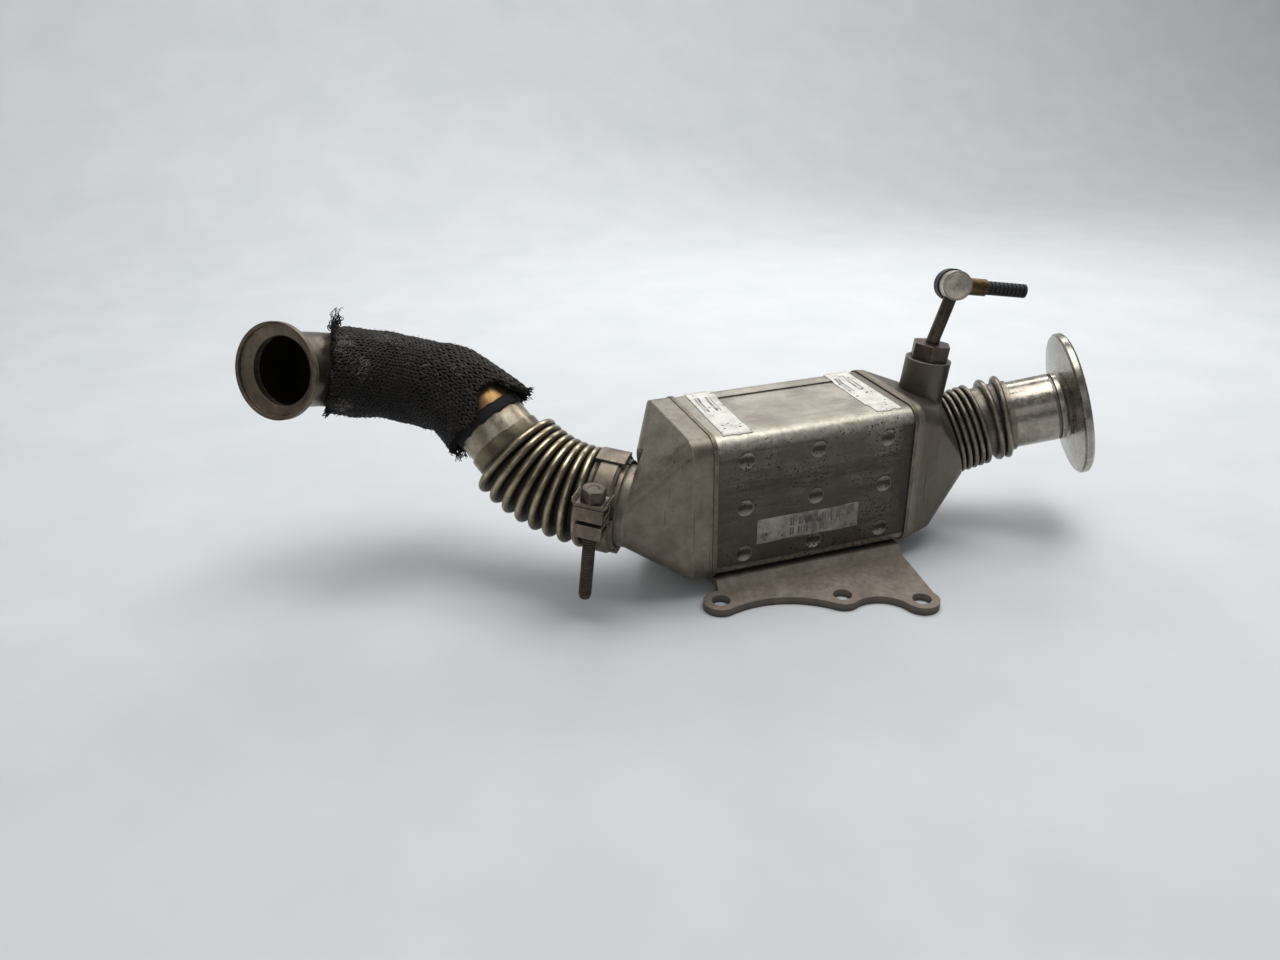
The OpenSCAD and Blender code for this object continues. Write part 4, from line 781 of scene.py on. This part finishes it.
# Flared stainless, scorched: brown outside, black within from soot and painted shade, its lip rubbed grey.
mouth_steel = aged_metal(
    "scorched_stainless_flare", ("#5f5245", "#766858", "#8c7e6c"), "#0b0a09", patch=12, roughness=0.48,
    metallic=0.75, specks=((0.3, 0.8),), crevice=22.0, rub="#aea292", edge=0.5,
)
dress(mouth_steel, "inlet_mouth")


# Insulation sleeve: black basalt yarn, weft-knitted as a tube and drawn over the pipe's bends.
# Its cut ends have frayed, it has torn open above the cuff, and grey lint clings to it.
sleeve_thickness = 4.0
sleeve_overlap = 3.0
sleeve_cover = 0.74
sleeve_slant = 11.0
sleeve_flare = 2.0
sleeve_thinning = 1.6
sleeve_end_share = 0.1
first_length = math.radians(first_bend) * bend_radius
second_from = first_length + middle_length
sleeve_length = sleeve_overlap + second_from + math.radians(second_bend) * bend_radius * sleeve_cover
wales = 40
courses = 36
course = sleeve_length / courses
yarn_radius = 0.72
stitch_steps = 12
yarn_sides = 6


def on_sleeve(t, angle, radius):
    """Points at a share t of the sleeve's length, an angle in degrees round it and a radius from its axis."""
    t, angle, radius = np.broadcast_arrays(*(np.asarray(v, dtype=float) for v in (t, angle, radius)))
    inwards = np.cos(np.radians(angle - second_roll))
    share = np.clip((t - 0.5) / 0.5, 0, None)
    middle = (pipe_radius + sleeve_thickness / 2) / bend_radius
    along = sleeve_length * t - sleeve_overlap + sleeve_slant * share**2 * inwards / (1 - middle * inwards)
    late = along > first_length
    start = np.where(late, second_from, 0.0)
    length = np.where(late, math.radians(second_bend) * bend_radius, first_length)
    roll = np.where(late, second_roll, first_roll)
    turned = np.clip(along - start, 0, length) / bend_radius
    straight = (along - start) - turned * bend_radius
    u = radius * np.cos(np.radians(angle - roll)) - bend_radius
    v = radius * np.sin(np.radians(angle - roll))
    x = u * np.cos(turned) + bend_radius + straight * np.sin(turned)
    z = -u * np.sin(turned) + straight * np.cos(turned)
    c, s = np.cos(np.radians(roll)), np.sin(np.radians(roll))
    local = np.stack([x * c - v * s, x * s + v * c, z], axis=-1)
    return np.where(late[..., None], placed(bend_two, local), placed(bend_one, local))


def sleeve_radius(t):
    """Outside of the cloth: it stands open at the cuff and thins out behind the mouth."""
    flare = sleeve_flare * np.exp(-((t / sleeve_end_share) ** 2))
    thinning = sleeve_thinning * np.exp(-(((1 - t) / sleeve_end_share) ** 2))
    return pipe_radius + sleeve_thickness + flare - thinning


def sweep(points, outward, radius, sides, closed=False):
    """Points and faces of a round strand along a line, with a direction beside the line at each point."""
    ahead = np.roll(points, -1, axis=0) - np.roll(points, 1, axis=0)
    if not closed:
        ahead[0], ahead[-1] = points[1] - points[0], points[-1] - points[-2]
    ahead /= np.linalg.norm(ahead, axis=1, keepdims=True) + 1e-9
    beside = np.cross(ahead, outward)
    beside /= np.linalg.norm(beside, axis=1, keepdims=True) + 1e-9
    above = np.cross(beside, ahead)
    radius = np.broadcast_to(radius, len(points))[:, None]
    rim = []
    for i in range(sides):
        a = 2 * math.pi * i / sides
        rim.append(points + radius * (math.cos(a) * beside + math.sin(a) * above))
    made = np.stack(rim, axis=1).reshape(-1, 3)
    count = len(points)
    faces = []
    for i in range(count if closed else count - 1):
        a, b = i * sides, (i + 1) % count * sides
        faces += [(a + k, a + (k + 1) % sides, b + (k + 1) % sides, b + k) for k in range(sides)]
    if not closed:
        faces += [tuple(range(sides - 1, -1, -1)), tuple(range((count - 1) * sides, count * sides))]
    return made, faces


class Strands:
    """Collects strands into one mesh."""

    def __init__(self):
        self.points, self.faces, self.count = [], [], 0

    def lay(self, points, outward, radius, sides, closed=False):
        made, faces = sweep(points, outward, radius, sides, closed)
        self.points.append(made)
        self.faces += [tuple(i + self.count for i in face) for face in faces]
        self.count += len(made)

    def piece(self, name, material):
        made = new_piece(name, np.concatenate(self.points), self.faces, material)
        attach(made, "root")
        return made


draw = np.random.default_rng(7)
tear_half = 34.0
tear_depth = 7.0


def edge_at_cuff(angle):
    """How far the knit's end lies from the sleeve's start, in millimetres: uneven, and torn at one place."""
    beside = (angle - tear_middle + 180) % 360 - 180
    torn = tear_depth * smooth_step(1.35 - np.abs(beside) / tear_half)
    return torn + 0.6 + 0.7 * np.sin(np.radians(5 * angle + 40)) + 0.4 * np.sin(np.radians(13 * angle))


def edge_at_mouth(angle):
    """The same for the other end: a loose, ragged edge."""
    return 1.2 + 0.9 * np.sin(np.radians(4 * angle)) + 0.7 * np.sin(np.radians(9 * angle + 70))


def lumps(t, angle):
    """Slow swells of the slack cloth, in millimetres."""
    a = np.radians(angle)
    return 0.5 * np.sin(7 * t + 2 * a) + 0.35 * np.sin(17 * t - 3 * a + 1) + 0.22 * np.sin(31 * t + 5 * a)


# Basalt yarn, textured and sized: near black and matt, with a brown cast.
# What faces up is lightened, by dust and by a painted highlight.
yarn, tree, shader, place = new_material("textured_basalt_yarn")
dye = add(tree, "TexNoise", {"Vector": place, "Scale": 1000 / 11, "Detail": 6, "Roughness": 0.7})
tone = add(tree, "ValToRGB", {"Fac": dye}, stops=[(0.36, "#0c0a09"), (0.7, "#30291f"), (0.54, "#171411")])
fibre_mm = 0.22
fibre = add(tree, "TexNoise", {"Vector": place, "Scale": 1000 / fibre_mm, "Detail": 3, "Roughness": 0.7})
tone = stain_or_light(tree, tone, fibre, 0.52, 0.75, 0.55, "#3a3531")
# Painted highlight with dust: what faces up is lightened.
facing = add(tree, "SeparateXYZ", {"Vector": add(tree, "NewGeometry").outputs["Normal"]})
tone = stain_or_light(tree, tone, facing.outputs["Z"], 0.1, 1.0, 0.45, "#3d372f")
relief = add(tree, "Bump", {"Strength": 0.8, "Distance": 0.12 * MM, "Height": fibre})
feed(tree, shader, {
    "Base Color": tone, "Normal": relief, "Roughness": 0.6, "Specular IOR Level": 0.2, "Sheen Weight": 0.03,
    "Sheen Roughness": 0.5,
})

# Basalt cloth behind the stitches, black and flat, seen only between them as their painted shade.
shade_cloth, tree, shader, place = new_material("black_shade_cloth")
weave = add(tree, "TexNoise", {"Vector": place, "Scale": 1000 / 0.9, "Detail": 3})
tone = add(tree, "ValToRGB", {"Fac": weave}, stops=[(0.35, "#0c0b0b"), (0.65, "#1b1918")])
feed(tree, shader, {"Base Color": tone, "Roughness": 0.9})
cloth_sides, cloth_rings = 96, 60
cloth_depth = 2.1
cloth_wall = 0.5
cloth_inset = 0.7
ring_angles = np.arange(cloth_sides) * 360 / cloth_sides
walls = []
for inset in (cloth_depth, cloth_depth + cloth_wall):
    for i in range(cloth_rings + 1):
        first = (edge_at_cuff(ring_angles) + cloth_inset) / sleeve_length
        last = 1 - (edge_at_mouth(ring_angles) + cloth_inset) / sleeve_length
        t = first + (last - first) * i / cloth_rings
        walls.append(on_sleeve(t, ring_angles, sleeve_radius(t) - inset + lumps(t, ring_angles)))


def wall_faces(rings, sides):
    """Faces of a tube with a wall: its rings of points outside, then as many inside, joined at both ends."""
    faces = []
    for side in (0, 1):
        for i in range(rings):
            a = (side * (rings + 1) + i) * sides
            b = a + sides
            for k in range(sides):
                face = (a + k, a + (k + 1) % sides, b + (k + 1) % sides, b + k)
                faces.append(face if side == 0 else face[::-1])
    for i in (0, rings):
        a, b = i * sides, (rings + 1 + i) * sides
        faces += [(a + k, b + k, b + (k + 1) % sides, a + (k + 1) % sides) for k in range(sides)]
    return faces


sleeve_cloth = new_piece("sleeve_cloth", np.concatenate(walls), wall_faces(cloth_rings, cloth_sides), shade_cloth)
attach(sleeve_cloth, "root")
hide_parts("insulation_sleeve")

# Stitches: each course is one yarn that loops up and down through its neighbours round the tube.
loop_height = 0.8 * course
loop_lean = -0.07
loop_depth = 0.5
yarn_sink = 0.95
slack_round, slack_along, slack_out = 0.09, 0.22, 0.18
shortest_run = 4
outer_probe, inner_probe = 40.0, 30.0
angle_steps = np.arange(wales * stitch_steps)
phase = angle_steps * 2 * math.pi / stitch_steps
for half, span in enumerate((range(0, courses // 2), range(courses // 2, courses))):
    knit = Strands()
    for row in span:
        slack = draw.normal(0, 1, (3, wales)).repeat(stitch_steps, axis=1)
        soften = np.sin(phase / 2) ** 2
        wale = angle_steps / stitch_steps + loop_lean * np.sin(2 * phase) + slack_round * slack[0] * soften
        wale = wale * 360 / wales
        up = (row + 0.5) * course + loop_height * np.cos(phase) + slack_along * slack[1] * soften
        t = up / sleeve_length
        out = -loop_depth * np.cos(2 * phase) + slack_out * slack[2] * soften + lumps(t, wale)
        line = on_sleeve(t, wale, sleeve_radius(t) - yarn_sink + out)
        beside = on_sleeve(t, wale, outer_probe) - on_sleeve(t, wale, inner_probe)
        whole = (up > edge_at_cuff(wale)) & (up < sleeve_length - edge_at_mouth(wale))
        if whole.all():
            knit.lay(line, beside, yarn_radius, yarn_sides, closed=True)
            continue
        first = int(np.argmin(whole))
        order = np.roll(np.arange(len(line)), -first)
        runs = np.split(order, np.flatnonzero(np.diff(whole[order].astype(int))) + 1)
        for run in runs:
            if whole[run[0]] and len(run) > shortest_run:
                knit.lay(line[run], beside[run], yarn_radius, yarn_sides)
    knit.piece(f"sleeve_knit_{half + 1}", yarn)


# Frayed ends: cut yarns that have come apart, straight and bristly at the cuff, curled behind the mouth.
def strand(t, angle, radius, ahead, outward, length, curl, steps):
    """A loose thread from the sleeve: it sets off along the sleeve and outwards, and curls."""
    base = on_sleeve(t, angle, radius)
    along = on_sleeve(t + 0.004 * ahead, angle, radius) - base
    along /= np.linalg.norm(along) + 1e-9
    away = on_sleeve(t, angle, radius + 1) - base
    round_about = np.cross(along, away)
    s = np.linspace(0, 1, steps)[:, None]
    twist = curl * s * math.pi * 2
    path = base + length * s * ((1 - outward) * along + outward * away)
    path = path + length * 0.22 * curl * (np.sin(twist) * round_about + (1 - np.cos(twist)) * away * 0.6)
    return path - 0.12 * length * s**2 * np.array([0, 0, 1.0]), np.broadcast_to(round_about, (steps, 3))


frays = Strands()
# Each tuft at the cuff: its angle, its spread in degrees, its number of threads, their length and lean.
cuff_tufts = [
    (12, 14, 46, 6.0, 0.25), (212, 24, 130, 4.6, 0.6), (180, 200, 200, 2.4, 0.45), (60, 26, 50, 2.8, 0.3),
]
for middle, spread, number, length, lean in cuff_tufts:
    for _ in range(number):
        angle = middle + draw.uniform(-spread, spread)
        t = (edge_at_cuff(np.array(angle)) + draw.uniform(0, 1.6)) / sleeve_length
        path, beside = strand(
            t, angle, sleeve_radius(t) - draw.uniform(0.2, 2.4), -1, np.clip(draw.normal(lean, 0.18), 0, 0.9),
            length * draw.uniform(0.5, 1.15), draw.uniform(0, 0.35), 6,
        )
        frays.lay(path, beside, draw.uniform(0.13, 0.24), 4)
# Each tuft behind the mouth: its angle, its spread, its number of threads, their length, lean and curl.
mouth_tufts = [
    (200, 7, 12, 8.0, 0.72, 1.9), (182, 9, 14, 6.0, 0.66, 1.7), (168, 24, 36, 4.4, 0.55, 1.3),
    (35, 22, 34, 4.0, 0.55, 0.9), (150, 30, 46, 2.6, 0.4, 0.6), (100, 200, 150, 2.2, 0.35, 0.5),
]
for middle, spread, number, length, lean, curl in mouth_tufts:
    for _ in range(number):
        angle = middle + draw.uniform(-spread, spread)
        t = 1 - (edge_at_mouth(np.array(angle)) + draw.uniform(0, 2.0)) / sleeve_length
        path, beside = strand(
            t, angle, sleeve_radius(t) - draw.uniform(0.2, 1.6), 1, np.clip(draw.normal(lean, 0.15), 0, 0.95),
            length * draw.uniform(0.5, 1.2), curl * draw.uniform(0.5, 1.2), 14,
        )
        frays.lay(path, beside, draw.uniform(0.14, 0.26), 4)
# Broken fibres stand off the stitches all over.
fibre_count = 900
for _ in range(fibre_count):
    t, angle = draw.uniform(0.06, 0.96), draw.uniform(0, 360)
    path, beside = strand(
        t, angle, sleeve_radius(t) - 0.2 + lumps(t, angle), draw.choice((-1, 1)), draw.uniform(0.15, 0.6),
        draw.uniform(0.9, 2.4), draw.uniform(0.2, 0.9), 5,
    )
    frays.lay(path, beside, draw.uniform(0.05, 0.09), 3)
fray_piece = frays.piece("sleeve_frays", yarn)

# Cotton lint, caught on the stitches near the mouth: dull grey fluff.
lint, tree, shader, place = new_material("caught_cotton_lint")
fluff = add(tree, "TexNoise", {"Vector": place, "Scale": 1000 / 1.5, "Detail": 3})
tone = add(tree, "ValToRGB", {"Fac": fluff}, stops=[(0.35, "#6b6763"), (0.65, "#a19c95")])
feed(tree, shader, {"Base Color": tone, "Roughness": 0.95})
fluff_strands = Strands()
# Each tuft of lint: its share of the sleeve's length, its angle, its spread in both and its number of hairs.
lint_tufts = [
    (0.93, 150, 0.06, 16, 110), (0.72, 168, 0.06, 12, 80), (0.9, 66, 0.04, 10, 60), (0.82, 120, 0.08, 20, 60),
    (0.58, 160, 0.06, 12, 26), (0.3, 150, 0.2, 40, 40),
]
for middle, facing, spread, fan, number in lint_tufts:
    for _ in range(number):
        t = np.clip(draw.normal(middle, spread / 2), 0.04, 0.97)
        angle = draw.normal(facing, fan / 2)
        path, beside = strand(
            t, angle, sleeve_radius(t) - 0.1 + lumps(t, angle), draw.choice((-1, 1)),
            draw.uniform(0.05, 0.35), draw.uniform(1.2, 3.6), draw.uniform(0.4, 1.6), 7,
        )
        fluff_strands.lay(path, beside, draw.uniform(0.04, 0.075), 3)
lint_piece = fluff_strands.piece("sleeve_lint", lint)

# Hem: a charred tape under the sleeve's end, close round the cuff; its black also paints the shade there.
hem_from, hem_to = -0.022, 0.036
hem_rings, hem_sides = 5, 120
hem_angles = np.arange(hem_sides) * 360 / hem_sides
hem_lift, hem_gap = 0.9, 0.08
hem_walls = []
for outside in (True, False):
    for i in range(hem_rings + 1):
        ragged = 0.3 * np.sin(np.radians(11 * hem_angles)) + 0.2 * np.sin(np.radians(23 * hem_angles + 30))
        t = hem_from + (hem_to - hem_from) * i / hem_rings + ragged / sleeve_length * (1 if i == 0 else 0.4)
        crown = hem_lift * (1 - 0.25 * ((2 * i / hem_rings - 1) ** 2))
        hem_walls.append(on_sleeve(t, hem_angles, pipe_radius + (crown if outside else hem_gap)))
sleeve_hem = new_piece("sleeve_hem", np.concatenate(hem_walls), wall_faces(hem_rings, hem_sides), shade_cloth)
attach(sleeve_hem, "root")


# Outlet: a short bellows with narrow folds, a plain pipe and a turned flange with a dished back.
# The pipe and flange are bright where they were turned, pitted by salt, and dark in every groove.
outlet_axis = Vector(mounts["gas_outlet"]["axis"])
outlet_middle = Vector(mounts["gas_outlet"]["pos_m"])


def turned_stains(tree, place, tone):
    """Fine rings left by the lathe, as light and dark lines about the outlet's axis."""
    beside = add(tree, "VectorMath", {0: place, 1: tuple(outlet_middle)}, operation="SUBTRACT")
    across = add(tree, "VectorMath", {0: beside, 1: tuple(outlet_axis)}, operation="CROSS_PRODUCT")
    reach = add(tree, "VectorMath", {0: across}, operation="LENGTH")
    along = add(tree, "VectorMath", {0: beside, 1: tuple(outlet_axis)}, operation="DOT_PRODUCT")
    both = add(tree, "CombineXYZ", {"X": reach, "Y": along})
    ring_mm = 1.6
    lines = add(tree, "TexNoise", {"Vector": both, "Scale": 1000 / ring_mm, "Detail": 4})
    tone = stain_or_light(tree, tone, lines, 0.45, 0.7, 0.18, "#6d655a")
    rust = add(tree, "TexNoise", {"Vector": place, "Scale": 1000 / 13, "Detail": 7, "Roughness": 0.72})
    return stain_or_light(tree, tone, rust, 0.6, 0.72, 0.6, "#54463a")


# Stainless folds, browned: a grey half gloss with dark roots.
outlet_fold_steel = aged_metal(
    "browned_stainless_folds", ("#70675a", "#887e70", "#a09687"), "#1d1712", patch=10, roughness=0.33,
    metallic=0.88, specks=((0.2, 0.7),), crevice=5.0, rub="#c0b5a2",
)
dress(outlet_fold_steel, "outlet_bellows")
# Turned stainless: bright, finely ringed, with rust-brown pits.
outlet_steel = aged_metal(
    "turned_bright_stainless", ("#8d857a", "#a8a095", "#bfb8ad"), "#1e1813", patch=15, roughness=0.23,
    metallic=0.95, specks=((0.3, 0.6),), rub="#e3dccf", edge=0.5, bump=0.015, stains_and_light=turned_stains,
)
dress(outlet_steel, "outlet_pipe", "outlet_flange")


# Temperature sensor: a browned nut in the boss, a steel stem bent over to a pressed head,
# a rubber boot behind the head, a brass ferrule and the first stretch of a ribbed lead, cut off.
# Plated steel, browned: dark with worn bright corners.
sensor_steel = aged_metal(
    "browned_plated_steel", ("#473d34", "#5d5147", "#75685b"), "#16120f", patch=7, roughness=0.42,
    specks=((0.2, 0.6),), crevice=3.0, rub="#b0a390", edge=0.35,
)
dress(sensor_steel, "sensor_nut", "sensor_stem")
# Pressed plated head: pale grey with brown stains in its rim.
head_steel = aged_metal(
    "plated_pressed_steel", ("#ada394", "#c2b9a9", "#d4ccbd"), "#2a231c", patch=6, roughness=0.36,
    specks=((0.25, 0.6),), crevice=3.0, rub="#d8cfc0",
)
dress(head_steel, "sensor_head")
# Brass, tarnished: dull olive brown, gold where it is rubbed.
ferrule_brass = aged_metal(
    "tarnished_brass", ("#4d422e", "#64553b", "#7e6c4b"), "#1d1710", patch=5, roughness=0.38, metallic=0.92,
    specks=((0.2, 0.5),), crevice=2.5, rub="#a8946a", edge=0.3,
)
dress(ferrule_brass, "lead_ferrule")
# Moulded rubber, dusty: near black, matt, with grey dust on what faces up.
boot_rubber, tree, shader, place = new_material("dusty_moulded_rubber")
skin = add(tree, "TexNoise", {"Vector": place, "Scale": 1000 / 3, "Detail": 5})
tone = add(tree, "ValToRGB", {"Fac": skin}, stops=[(0.35, "#100f0f"), (0.7, "#201f1e")])
facing = add(tree, "SeparateXYZ", {"Vector": add(tree, "NewGeometry").outputs["Normal"]})
tone = stain_or_light(tree, tone, facing.outputs["Z"], 0.3, 1.0, 0.16, "#4b4844")
grain = add(tree, "TexNoise", {"Vector": place, "Scale": 1000 / 0.4, "Detail": 2})
relief = add(tree, "Bump", {"Strength": 0.4, "Distance": 0.04 * MM, "Height": grain})
feed(tree, shader, {"Base Color": tone, "Normal": relief, "Roughness": 0.6})
dress(boot_rubber, "sensor_boot", "lead_sleeve")
